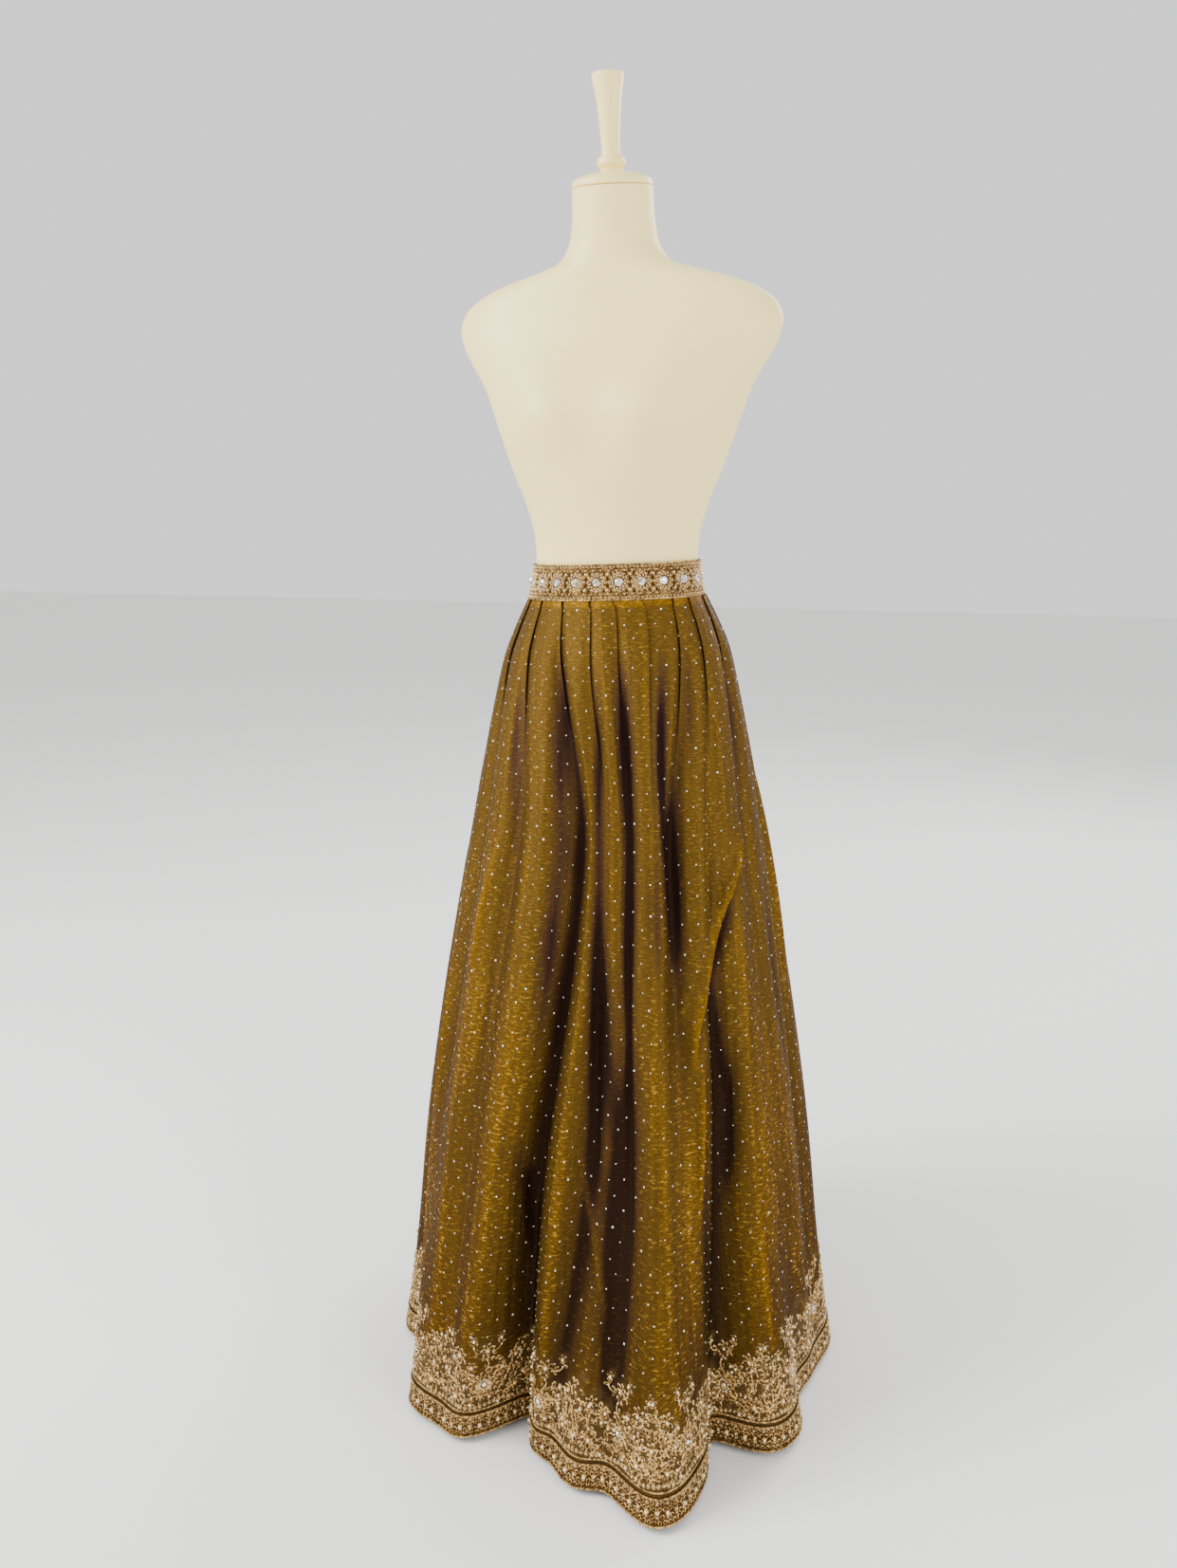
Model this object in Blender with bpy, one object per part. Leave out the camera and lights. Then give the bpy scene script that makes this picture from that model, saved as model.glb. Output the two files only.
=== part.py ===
"""A pleated lehenga skirt worn by a limbless dress form on a pole and a round base.

Metres, +Z up. The form faces -Y, the wearer's left is +X, and the origin is the middle
of the base's underside. An angle "round" the body is in degrees: 0 is the front, 90 the
wearer's left and 180 the back.
"""

import math

import bmesh
import bpy
import numpy as np

# The skirt
BAND_TOP = 1.0527
BAND_HEIGHT = 0.0472
BAND_SLOPE = 0.035
BAND_WALL = 0.0030
BAND_POINTS = 80
BAND_OPENING = 181.0
LAP_FROM, LAP_TO = 174.0, 191.0
LAP_WALL = 0.0018
LAP_INSET = 0.0015
HEM_HEIGHT = 0.008
CLOTH_WALL = 0.0016
PLEAT_STEP_TOP = 0.0026
PLEAT_STEP_FULL = 0.0042
PLEAT_ENDS_AT = 0.30
HEM_BORDER_HEIGHT = 0.028
HEM_BORDER_WALL = 0.0015

# Gaps between neighbours
SEAM_GAP = 0.0003
FORM_GAP = 0.0004
LAID_GAP = 0.00035
CLOTH_CLEARANCE = 0.0010

# The dress form and its stand
FORM_POINTS = 44
BUST_HEIGHT = 1.242
BUST_APART = 0.080
BUST_SPREAD = 0.064
BUST_RISE = 0.030
BUST_ROWS = (1.215, 1.265)
ROW_GAP = 0.004
NECK_TILT = 9.0
FORM_FOOT_CURVE = 0.010
CAP_RADIUS = 0.0550
CAP_RISE = 0.021
CAP_RIM = 0.006
CAP_CHAMFER = 0.0035
POLE_RADIUS = 0.016
SOCKET_RADIUS = 0.030
SOCKET_HEIGHT = 0.030
SOCKET_TAPER = 0.008
BASE_RADIUS = 0.150
BASE_THICKNESS = 0.012
BASE_EDGE = 0.004
BASE_HUB_RADIUS = 0.034
BASE_HUB_HEIGHT = 0.030
BASE_HUB_FOOT = 0.012
TURNED_POINTS = 32

BAND_BOTTOM = BAND_TOP - BAND_HEIGHT
CLOTH_TOP = BAND_BOTTOM - SEAM_GAP
CLOTH_LENGTH = CLOTH_TOP - HEM_HEIGHT
CLOTH_OFF_FORM = FORM_GAP + CLOTH_WALL + PLEAT_STEP_TOP + CLOTH_CLEARANCE


def table(columns, *rows):
    """A dictionary of columns, each a numpy array with one value for each row."""
    return {name: np.array([row[i] for row in rows]) for i, name in enumerate(columns)}


# The dress form's level sections, from its underside up to the neck's top
FORM = table(
    ("height", "half_width", "front", "back", "lean"),
    (0.790, 0.1420, 0.1120, 0.1220, 0.000),
    (0.850, 0.1430, 0.1150, 0.1240, 0.000),
    (0.900, 0.1390, 0.1120, 0.1190, 0.000),
    (0.950, 0.1300, 0.1030, 0.1060, 0.000),
    (1.000, 0.1190, 0.0910, 0.0900, 0.000),
    (1.052, 0.1115, 0.0840, 0.0820, 0.000),
    (1.080, 0.1130, 0.0860, 0.0830, 0.000),
    (1.125, 0.1240, 0.0940, 0.0910, 0.000),
    (1.175, 0.1440, 0.1030, 0.1010, 0.000),
    (1.240, 0.1680, 0.1060, 0.1090, 0.000),
    (1.290, 0.1870, 0.0990, 0.1130, 0.000),
    (1.325, 0.2080, 0.0890, 0.1120, 0.001),
    (1.350, 0.2210, 0.0810, 0.1080, 0.002),
    (1.375, 0.2270, 0.0740, 0.1010, 0.002),
    (1.395, 0.2210, 0.0690, 0.0930, 0.002),
    (1.413, 0.2020, 0.0650, 0.0850, 0.000),
    (1.430, 0.1660, 0.0620, 0.0770, -0.002),
    (1.443, 0.1200, 0.0600, 0.0700, -0.004),
    (1.455, 0.0830, 0.0580, 0.0640, -0.006),
    (1.470, 0.0680, 0.0555, 0.0590, -0.009),
    (1.490, 0.0595, 0.0535, 0.0550, -0.012),
    (1.528, 0.0555, 0.0530, 0.0530, -0.016),
    (1.556, 0.0550, 0.0530, 0.0530, -0.020),
)

# The turned finial, from its foot on the neck's cap to its top
FINIAL = table(
    ("height", "radius"),
    (0.0000, 0.0150),
    (0.0048, 0.0153),
    (0.0101, 0.0196),
    (0.0147, 0.0198),
    (0.0191, 0.0177),
    (0.0222, 0.0130),
    (0.0300, 0.0122),
    (0.0600, 0.0138),
    (0.0940, 0.0166),
    (0.1190, 0.0210),
    (0.1250, 0.0218),
    (0.1282, 0.0206),
    (0.1290, 0.0182),
)

# The cloth's outline below the band, without its folds
SKIRT = table(
    ("drop", "half_width", "front", "back"),
    (0.038, 0.1430, 0.1100, 0.1120),
    (0.073, 0.1570, 0.1270, 0.1320),
    (0.118, 0.1670, 0.1420, 0.1490),
    (0.188, 0.1800, 0.1610, 0.1710),
    (0.288, 0.1970, 0.1870, 0.1960),
    (0.408, 0.2170, 0.2150, 0.2220),
    (0.558, 0.2400, 0.2440, 0.2480),
    (0.708, 0.2580, 0.2680, 0.2700),
    (0.858, 0.2710, 0.2860, 0.2870),
    (1.008, 0.2880, 0.3020, 0.3020),
)

# A row for each pleat: where its fold line lies round the body at four levels, how deep
# the fold is at four levels, how far the hem swings out there (as a share of the
# outline), and the way that the pleat is laid (1 towards the wearer's left, else -1)
FOLDS = table(
    ("waist", "high", "low", "hem", "deep_top", "deep_high", "deep_low", "deep_hem", "swing", "lay"),
    (-24.0, 0.5, -9.0, -17.0, 0.009, 0.034, 0.046, 0.088, 0.97, 1),
    (-5.0, 10.5, 8.0, -3.0, 0.005, 0.021, 0.027, 0.037, 0.98, 1),
    (10.0, 20.5, 20.0, 13.5, 0.008, 0.017, 0.015, 0.028, 1.05, 1),
    (28.0, 29.0, 27.0, 25.5, 0.003, 0.006, 0.001, 0.000, 1.15, 1),
    (50.0, 38.5, 34.5, 37.0, 0.008, 0.026, 0.010, 0.026, 1.12, -1),
    (64.0, 54.0, 48.5, 46.0, 0.003, 0.010, 0.038, 0.062, 1.05, -1),
    (84.0, 73.0, 67.0, 76.0, 0.006, 0.008, 0.003, 0.030, 1.03, -1),
    (103.0, 96.0, 88.0, 88.0, 0.004, 0.012, 0.016, 0.012, 1.00, -1),
    (121.0, 117.0, 112.0, 108.0, 0.008, 0.020, 0.012, 0.006, 1.02, -1),
    (139.0, 134.0, 131.0, 130.0, 0.004, 0.016, 0.038, 0.078, 0.99, -1),
    (157.0, 153.0, 152.0, 150.0, 0.006, 0.014, 0.010, 0.008, 1.03, -1),
    (175.0, 176.0, 176.0, 175.0, 0.008, 0.026, 0.034, 0.052, 1.01, 1),
    (193.0, 198.0, 199.0, 196.0, 0.004, 0.010, 0.006, 0.004, 1.05, 1),
    (211.0, 217.0, 218.0, 219.0, 0.008, 0.024, 0.042, 0.084, 0.99, 1),
    (229.0, 235.0, 239.0, 238.0, 0.005, 0.012, 0.006, 0.010, 1.02, 1),
    (246.0, 253.0, 258.0, 261.0, 0.006, 0.018, 0.030, 0.060, 1.00, 1),
    (263.0, 272.0, 277.0, 279.0, 0.004, 0.008, 0.004, 0.002, 1.01, 1),
    (281.0, 291.0, 297.0, 300.0, 0.008, 0.022, 0.036, 0.074, 0.99, 1),
    (299.0, 311.0, 314.0, 316.0, 0.004, 0.010, 0.008, 0.006, 1.04, 1),
    (317.0, 334.0, 330.0, 326.0, 0.006, 0.014, 0.012, 0.016, 1.02, 1),
)
FOLD_LEVELS = (0.0, 0.30, 0.68, 1.0)
DEEP_LEVELS = (0.0, 0.12, 0.35, 0.68, 1.0)
FOLD_HALF_WIDTH = table(
    ("share", "metres"), (0.0, 0.007), (0.12, 0.010), (0.35, 0.017), (0.68, 0.025), (1.0, 0.040)
)
FOLD_COUNT = len(FOLDS["waist"])

# How the columns of the cloth are shared out between one fold line and the next
STEPS_AT_WAIST = np.array([0.0, 0.10, 0.28, 0.48, 0.68, 0.86, 0.975])
STEPS_AT_HEM = np.arange(7) / 7
PLEAT_RUN = 0.85

# Each panel runs from one fold line to another, with its seams hidden in those folds
PANELS = {
    "skirt_front_left": (1, 6),
    "skirt_back_left": (6, 11),
    "skirt_back_right": (11, 16),
    "skirt_front_right": (16, 21),
}
BORDER_SHARE = 1 - HEM_BORDER_HEIGHT / CLOTH_LENGTH
CLOTH_ROWS = (0.0, 0.03, 0.075, 0.13, 0.20, 0.29, 0.40, 0.53, 0.66, 0.79, 0.90, BORDER_SHARE, 1.0)

COLOURS = {
    "cloth": ((0.250, 0.150, 0.030), 0.42, 0.45),
    "embroidery": ((0.520, 0.370, 0.230), 0.50, 0.25),
    "form": ((0.840, 0.790, 0.660), 0.55, 0.0),
    "stand": ((0.860, 0.830, 0.740), 0.35, 0.0),
}


def smooth(xs, ys, at):
    """A curve through the points that never swings past them, read at the given places."""
    xs, ys, at = (np.asarray(values, float) for values in (xs, ys, at))
    gaps = np.diff(xs)
    slopes = np.diff(ys) / gaps
    tangents = np.concatenate([[slopes[0]], np.zeros(len(xs) - 2), [slopes[-1]]])
    same_way = slopes[:-1] * slopes[1:] > 0
    products = slopes[:-1] * slopes[1:]
    sums = np.where(same_way, slopes[:-1] + slopes[1:], 1.0)
    tangents[1:-1] = np.where(same_way, 2 * products / sums, 0.0)
    i = np.clip(np.searchsorted(xs, at) - 1, 0, len(gaps) - 1)
    u = np.clip((at - xs[i]) / gaps[i], 0, 1)
    rise = u * u * (3 - 2 * u)
    start = u * (1 - u) ** 2 * gaps[i] * tangents[i]
    end = u * u * (u - 1) * gaps[i] * tangents[i + 1]
    return ys[i] + rise * (ys[i + 1] - ys[i]) + start + end


def ease(value, top):
    """0 at nothing, 1 from top on, and level at both ends."""
    u = np.clip(value / top, 0, 1)
    return u * u * (3 - 2 * u)


def oval(angles, half_width, front, back):
    """Points round a level section, with its front and its back of different depths."""
    turn = np.radians(angles)
    depth = np.where(np.cos(turn) > 0, front, back)
    return np.stack([half_width * np.sin(turn), -depth * np.cos(turn)], axis=1)


def form_section(height, angles, outset=0.0):
    """Points round the dress form at one height, moved out by outset."""
    half_width, front, back, lean = (
        smooth(FORM["height"], FORM[name], height) for name in ("half_width", "front", "back", "lean")
    )
    ring = oval(angles, half_width + outset, front + outset, back + outset)
    ring[:, 1] += lean
    facing = np.clip(-ring[:, 1] / front, 0, 1)
    for side in (-1, 1):
        away = (ring[:, 0] - side * BUST_APART) ** 2 + (height - BUST_HEIGHT) ** 2
        ring[:, 1] -= BUST_RISE * facing * np.exp(-away / BUST_SPREAD**2)
    return ring


def fold_lines(share):
    """Each fold line's angle at this share of the way down the cloth."""
    columns = np.stack([FOLDS[name] for name in ("waist", "high", "low", "hem")])
    return np.array([smooth(FOLD_LEVELS, columns[:, i], share) for i in range(FOLD_COUNT)])


def fold_depths(share):
    """Each fold's depth at this share of the way down the cloth."""
    names = ("deep_top", "deep_high", "deep_low", "deep_hem")
    columns = np.stack([np.zeros(FOLD_COUNT)] + [FOLDS[name] for name in names])
    return np.array([smooth(DEEP_LEVELS, columns[:, i], share) for i in range(FOLD_COUNT)])


def cloth_outline(share, angles):
    """The cloth's level section without its folds."""
    names = ("half_width", "front", "back")
    seam = [float(smooth(FORM["height"], FORM[name], CLOTH_TOP)) + CLOTH_OFF_FORM for name in names]
    drops = np.concatenate([[0.0], SKIRT["drop"]])
    sizes = [
        smooth(drops, np.concatenate([[at_seam], SKIRT[name]]), share * CLOTH_LENGTH)
        for at_seam, name in zip(seam, names)
    ]
    return oval(angles, *sizes)


def cloth_ring(share):
    """Outer points round the cloth at this share of the way down, a column for each step."""
    lines = fold_lines(share)
    depths = fold_depths(share)
    ends = np.append(lines[1:], lines[0] + 360)
    steps = STEPS_AT_WAIST + ease(share, PLEAT_ENDS_AT) * (STEPS_AT_HEM - STEPS_AT_WAIST)
    angles = (lines[:, None] + steps[None, :] * (ends - lines)[:, None]).ravel()
    ring = cloth_outline(share, angles)
    around = np.append(np.concatenate([[lines[-1] - 360], lines]), lines[0] + 360)
    swing = np.concatenate([[FOLDS["swing"][-1]], FOLDS["swing"], [FOLDS["swing"][0]]])
    ring *= (1 + (smooth(around, swing, angles) - 1) * share**2)[:, None]
    radius = np.linalg.norm(ring, axis=1)
    half_width = smooth(FOLD_HALF_WIDTH["share"], FOLD_HALF_WIDTH["metres"], share)
    inward = np.zeros(len(angles))
    for line, depth in zip(lines, depths):
        apart = (angles - line + 180) % 360 - 180
        inward += depth * np.exp(-((np.radians(apart) * radius / half_width) ** 2))
    full = PLEAT_STEP_TOP + ease(share, 0.08) * (PLEAT_STEP_FULL - PLEAT_STEP_TOP)
    step = full * (1 - ease(share, PLEAT_ENDS_AT))
    after = np.maximum(0, 1 - steps / PLEAT_RUN)
    before = np.maximum(0, (steps - 1 + PLEAT_RUN) / PLEAT_RUN)
    starts = (FOLDS["lay"] > 0)[:, None] * after
    stops = (np.roll(FOLDS["lay"], -1) < 0)[:, None] * before
    inward += step * (starts + stops).ravel()
    return ring * (1 - inward / radius)[:, None]


def outward(ring):
    """How each point of a closed ring moves when its outline moves out by one unit."""
    before = ring - np.roll(ring, 1, axis=0)
    after = np.roll(ring, -1, axis=0) - ring
    normals = [
        np.stack([edge[:, 1], -edge[:, 0]], axis=1) / np.linalg.norm(edge, axis=1)[:, None]
        for edge in (before, after)
    ]
    middle = normals[0] + normals[1]
    middle /= np.linalg.norm(middle, axis=1)[:, None]
    mitre = np.maximum((middle * normals[0]).sum(axis=1), 0.6)
    return middle / mitre[:, None]


def raised(ring, height):
    """A ring's points in space, at one height or at a height for each."""
    return np.column_stack([ring, np.broadcast_to(height, len(ring))])


def finish(name, mesh_data, material, smooth_angle):
    """Links a new object made from a bmesh, with its faces outward and its shading set."""
    bmesh.ops.recalc_face_normals(mesh_data, faces=mesh_data.faces)
    mesh = bpy.data.meshes.new(name)
    mesh_data.to_mesh(mesh)
    mesh_data.free()
    mesh.shade_smooth()
    mesh.set_sharp_from_angle(angle=math.radians(smooth_angle))
    mesh.materials.append(material)
    made = bpy.data.objects.new(name, mesh)
    bpy.context.scene.collection.objects.link(made)
    return made


def wall(name, outer, inner, closed, material):
    """A thin wall between two grids of points, rows from top to bottom."""
    mesh_data = bmesh.new()
    outer, inner = ([[mesh_data.verts.new(p) for p in row] for row in grid] for grid in (outer, inner))
    columns = len(outer[0])
    spans = columns if closed else columns - 1
    for grid in (outer, inner):
        for upper, lower in zip(grid, grid[1:]):
            for j in range(spans):
                k = (j + 1) % columns
                mesh_data.faces.new((upper[j], upper[k], lower[k]))
                mesh_data.faces.new((upper[j], lower[k], lower[j]))
    for row in (0, -1):
        for j in range(spans):
            k = (j + 1) % columns
            mesh_data.faces.new((outer[row][j], outer[row][k], inner[row][k], inner[row][j]))
    if not closed:
        for column in (0, -1):
            for i in range(len(outer) - 1):
                ends = (outer[i][column], outer[i + 1][column], inner[i + 1][column], inner[i][column])
                mesh_data.faces.new(ends)
    return finish(name, mesh_data, material, 50)


def stacked(name, rings, material):
    """A solid through a stack of rings, closed by a flat face at each end."""
    mesh_data = bmesh.new()
    rows = [[mesh_data.verts.new(p) for p in ring] for ring in rings]
    count = len(rows[0])
    for lower, upper in zip(rows, rows[1:]):
        for j in range(count):
            mesh_data.faces.new((lower[j], lower[(j + 1) % count], upper[(j + 1) % count], upper[j]))
    mesh_data.faces.new(rows[0])
    mesh_data.faces.new(rows[-1])
    return finish(name, mesh_data, material, 40)


def turned(name, profile, material):
    """A solid turned about its own Z axis, from (radius, height) pairs off the axis."""
    angles = np.arange(TURNED_POINTS) * 2 * math.pi / TURNED_POINTS
    circle = np.stack([np.cos(angles), np.sin(angles)], axis=1)
    return stacked(name, [raised(circle * radius, height) for radius, height in profile], material)


def arc(centre, radius, start, end, count):
    """Points of an arc in a profile, with its angles in degrees."""
    angles = np.radians(np.linspace(start, end, count))
    return [(centre[0] + radius * math.cos(a), centre[1] + radius * math.sin(a)) for a in angles]


def make_materials():
    """One Principled material for each colour in the table."""
    made = {}
    for name, (colour, roughness, metallic) in COLOURS.items():
        material = bpy.data.materials.new(name)
        material.use_nodes = True
        shader = material.node_tree.nodes["Principled BSDF"]
        shader.inputs["Base Color"].default_value = (*colour, 1)
        shader.inputs["Roughness"].default_value = roughness
        shader.inputs["Metallic"].default_value = metallic
        made[name] = material
    return made


def make_cloth(materials):
    """The four skirt panels, and the border that lies on their hem."""
    rings = [cloth_ring(share) for share in CLOTH_ROWS]
    moves = [outward(ring) for ring in rings]
    heights = [
        CLOTH_TOP - share * CLOTH_LENGTH + (1 - share) * BAND_SLOPE * ring[:, 0]
        for share, ring in zip(CLOTH_ROWS, rings)
    ]
    count = len(rings[0])
    per_fold = len(STEPS_AT_WAIST)
    for name, (first, last) in PANELS.items():
        columns = np.arange(first * per_fold, last * per_fold + 1) % count
        outer, inner = [], []
        for ring, move, height in zip(rings, moves, heights):
            along = np.stack([-move[:, 1], move[:, 0]], axis=1)
            along /= np.linalg.norm(along, axis=1)[:, None]
            points = ring[columns].copy()
            points[0] += along[columns[0]] * SEAM_GAP / 2
            points[-1] -= along[columns[-1]] * SEAM_GAP / 2
            outer.append(raised(points, height[columns]))
            inner.append(raised(points - move[columns] * CLOTH_WALL, height[columns]))
        wall(name, outer, inner, False, materials["cloth"])
    border = [
        [
            raised(ring + move * distance, height)
            for ring, move, height in zip(rings[-2:], moves[-2:], heights[-2:])
        ]
        for distance in (LAID_GAP + HEM_BORDER_WALL, LAID_GAP)
    ]
    wall("hem_border", *border, True, materials["embroidery"])


def band_rows(angles, outset, inset=0.0):
    """Rows of points round the waistband, moved out from the form by outset."""
    rows = []
    for middle in np.linspace(BAND_TOP - inset, BAND_BOTTOM + inset, 4):
        height = middle + BAND_SLOPE * form_section(middle, angles, outset)[:, 0]
        rows.append(raised(form_section(height, angles, outset), height))
    return rows


def make_band(materials):
    """The waistband, open at the back, and the lap that closes it."""
    radius = float(smooth(FORM["height"], FORM["back"], BAND_TOP))
    half_gap = math.degrees(SEAM_GAP / 2 / radius)
    angles = BAND_OPENING + np.linspace(half_gap, 360 - half_gap, BAND_POINTS)
    outer = band_rows(angles, FORM_GAP + BAND_WALL)
    wall("waistband", outer, band_rows(angles, FORM_GAP), False, materials["embroidery"])
    lap = np.linspace(LAP_FROM, LAP_TO, 6)
    rise = FORM_GAP + BAND_WALL + LAID_GAP
    outer = band_rows(lap, rise + LAP_WALL, LAP_INSET)
    wall("band_lap", outer, band_rows(lap, rise, LAP_INSET), False, materials["embroidery"])


def make_form(materials):
    """The dress form's body, smooth and closed, with a neck that tips forward."""
    angles = np.arange(FORM_POINTS) * 360 / FORM_POINTS
    band = np.linspace(BAND_BOTTOM, BAND_TOP, 4)
    apart = np.abs(FORM["height"][:, None] - band[None, :]).min(axis=1)
    sections = FORM["height"][apart > ROW_GAP]
    heights = np.sort(np.concatenate([sections, band, BUST_ROWS]))
    rings = []
    for height in heights:
        ring = raised(form_section(height, angles), height)
        tip = NECK_TILT * ease(height - FORM["height"][-6], FORM["height"][-1] - FORM["height"][-6])
        middle = float(smooth(FORM["height"], FORM["lean"], height))
        ring[:, 2] += (ring[:, 1] - middle) * math.tan(math.radians(float(tip)))
        rings.append(ring)
    shrink = 1 - FORM_FOOT_CURVE / 2 / FORM["front"][0]
    edge = rings[0] * (shrink, shrink, 1) - (0, 0, FORM_FOOT_CURVE)
    return stacked("form_body", [edge] + rings, materials["form"])


def make_cap_and_finial(materials):
    """The neck's cap and the turned finial, both square to the tipped neck."""
    tip = math.radians(NECK_TILT)
    top = FORM["height"][-1]
    lean = FORM["lean"][-1]
    dome = arc((0, 0), 1.0, 12, 68, 6)
    profile = [(CAP_RADIUS - CAP_CHAMFER, 0.0), (CAP_RADIUS, CAP_CHAMFER / 2), (CAP_RADIUS, CAP_RIM)]
    profile += [(CAP_RADIUS * across, CAP_RIM + up * (CAP_RISE - CAP_RIM)) for across, up in dome]
    cap_top = profile[-1][1]
    cap = turned("neck_cap", profile, materials["stand"])
    finial = turned("finial", list(zip(FINIAL["radius"], FINIAL["height"])), materials["stand"])
    for piece, rise in ((cap, SEAM_GAP), (finial, 2 * SEAM_GAP + cap_top)):
        piece.location = (0, lean - rise * math.sin(tip), top + rise * math.cos(tip))
        piece.rotation_euler = (tip, 0, 0)


def make_stand(materials):
    """The pole under the form, its socket and the round base."""
    socket_top = FORM["height"][0] - FORM_FOOT_CURVE - SEAM_GAP
    socket_foot = socket_top - SOCKET_HEIGHT
    socket = [
        (SOCKET_RADIUS - SOCKET_TAPER, socket_foot),
        (SOCKET_RADIUS, socket_foot + SOCKET_TAPER),
        (SOCKET_RADIUS, socket_top),
    ]
    turned("pole_socket", socket, materials["stand"])
    hub_top = BASE_THICKNESS + BASE_HUB_HEIGHT
    pole = [(POLE_RADIUS, hub_top + SEAM_GAP), (POLE_RADIUS, socket_foot - SEAM_GAP)]
    turned("stand_pole", pole, materials["stand"])
    rim = arc((BASE_RADIUS - BASE_EDGE, BASE_THICKNESS - BASE_EDGE), BASE_EDGE, 0, 90, 4)
    hub = [
        (BASE_HUB_RADIUS + BASE_HUB_FOOT, BASE_THICKNESS + BASE_EDGE / 2),
        (BASE_HUB_RADIUS, BASE_THICKNESS + 2 * BASE_EDGE),
        (BASE_HUB_RADIUS * 0.80, hub_top - BASE_EDGE),
        (BASE_HUB_RADIUS * 0.70, hub_top),
    ]
    foot = [(BASE_RADIUS - BASE_EDGE / 2, 0.0), (BASE_RADIUS, BASE_EDGE / 2)]
    turned("stand_base", foot + rim + hub, materials["stand"])


def main():
    for old in list(bpy.data.objects):
        bpy.data.objects.remove(old)
    materials = make_materials()
    make_cloth(materials)
    make_band(materials)
    make_form(materials)
    make_cap_and_finial(materials)
    make_stand(materials)


main()
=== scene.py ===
"""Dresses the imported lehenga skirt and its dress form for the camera.

The skirt's shot tissue silk, its sequins, the worked waistband, the worked hem and the
ivory form are each made by an operator of their own. Metres, +Z up; the form faces -Y and
an angle "round" the body is in degrees, 0 at the front and 90 at the wearer's left.
"""

import math

import bpy
import numpy as np
from bpy.props import FloatProperty, FloatVectorProperty, IntProperty, PointerProperty
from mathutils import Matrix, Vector


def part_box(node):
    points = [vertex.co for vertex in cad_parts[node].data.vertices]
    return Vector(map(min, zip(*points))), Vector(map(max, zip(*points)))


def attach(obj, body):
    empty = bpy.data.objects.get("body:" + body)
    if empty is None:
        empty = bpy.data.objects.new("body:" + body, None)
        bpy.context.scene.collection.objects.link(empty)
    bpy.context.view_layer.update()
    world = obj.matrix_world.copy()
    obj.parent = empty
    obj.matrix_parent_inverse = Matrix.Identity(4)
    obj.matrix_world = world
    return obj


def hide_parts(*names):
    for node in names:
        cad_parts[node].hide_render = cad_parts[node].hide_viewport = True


bl_info = {
    "name": "Lehenga skirt on a dress form",
    "version": (1, 0, 0),
    "blender": (4, 5, 0),
    "location": "View3D > Sidebar > Lehenga",
    "description": "Pleated shot silk, worked band and hem, and the ivory form under them",
    "category": "Object",
}

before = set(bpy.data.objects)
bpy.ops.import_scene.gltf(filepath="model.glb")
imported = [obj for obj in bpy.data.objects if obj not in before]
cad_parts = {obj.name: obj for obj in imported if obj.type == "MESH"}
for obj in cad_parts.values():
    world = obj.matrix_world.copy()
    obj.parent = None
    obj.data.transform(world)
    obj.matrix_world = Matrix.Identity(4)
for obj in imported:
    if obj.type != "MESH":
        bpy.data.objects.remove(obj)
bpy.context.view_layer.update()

# Sizes that the solids have too
BAND_TOP = 1.0527
BAND_BOTTOM = 1.0055
BAND_HEIGHT = BAND_TOP - BAND_BOTTOM
BAND_SLOPE = 0.035
BAND_WALL = 0.0030
LAP_FROM, LAP_TO = 174.0, 191.0
LAP_RISE = 0.0022
HEM_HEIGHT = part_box("hem_border")[0].z
BORDER_HEIGHT = 0.028
FORM_GAP = 0.0004
CLOTH_TOP = BAND_BOTTOM - 0.0003
CLOTH_LENGTH = CLOTH_TOP - HEM_HEIGHT
CLOTH_OFF_FORM = 0.0056
PLEAT_STEP_TOP = 0.0026
PLEAT_STEP_FULL = 0.0042
PLEAT_ENDS_AT = 0.30
BUST_HEIGHT = 1.242
BUST_APART = 0.080
BUST_SPREAD = 0.064
BUST_RISE = 0.030
NECK_TILT = 9.0
NECK_FOOT = 1.443

# The form's drawn-in rims at its foot and its neck, and where its rows start to lie closer
FORM_FOOT_SHARE = 0.955
FORM_FOOT_DROP = 0.010
NECK_RIM_SHARE = 0.985
SHOULDERS = 1.30

FRAME_WIDTH = 1241
FRAME_HEIGHT = 1653
SENSOR = 36.0
SAME_POINT = 0.00002
MILLIMETRE = 0.001

# Each lamp: where it stands, its width, and its power as a share of the main light's
LAMPS = {
    "key": ((-2.5, -1.7, 2.6), 1.9, 1.0),
    "fill": ((2.8, -1.4, 1.6), 2.2, 0.38),
    "back": ((1.4, 2.8, 2.6), 2.0, 0.40),
}
LAMPS_AIM = Vector((0, 0, 0.9))


def table(columns, *rows):
    """A dictionary of columns, each a numpy array with one value for each row."""
    return {name: np.array([row[i] for row in rows]) for i, name in enumerate(columns)}


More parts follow.
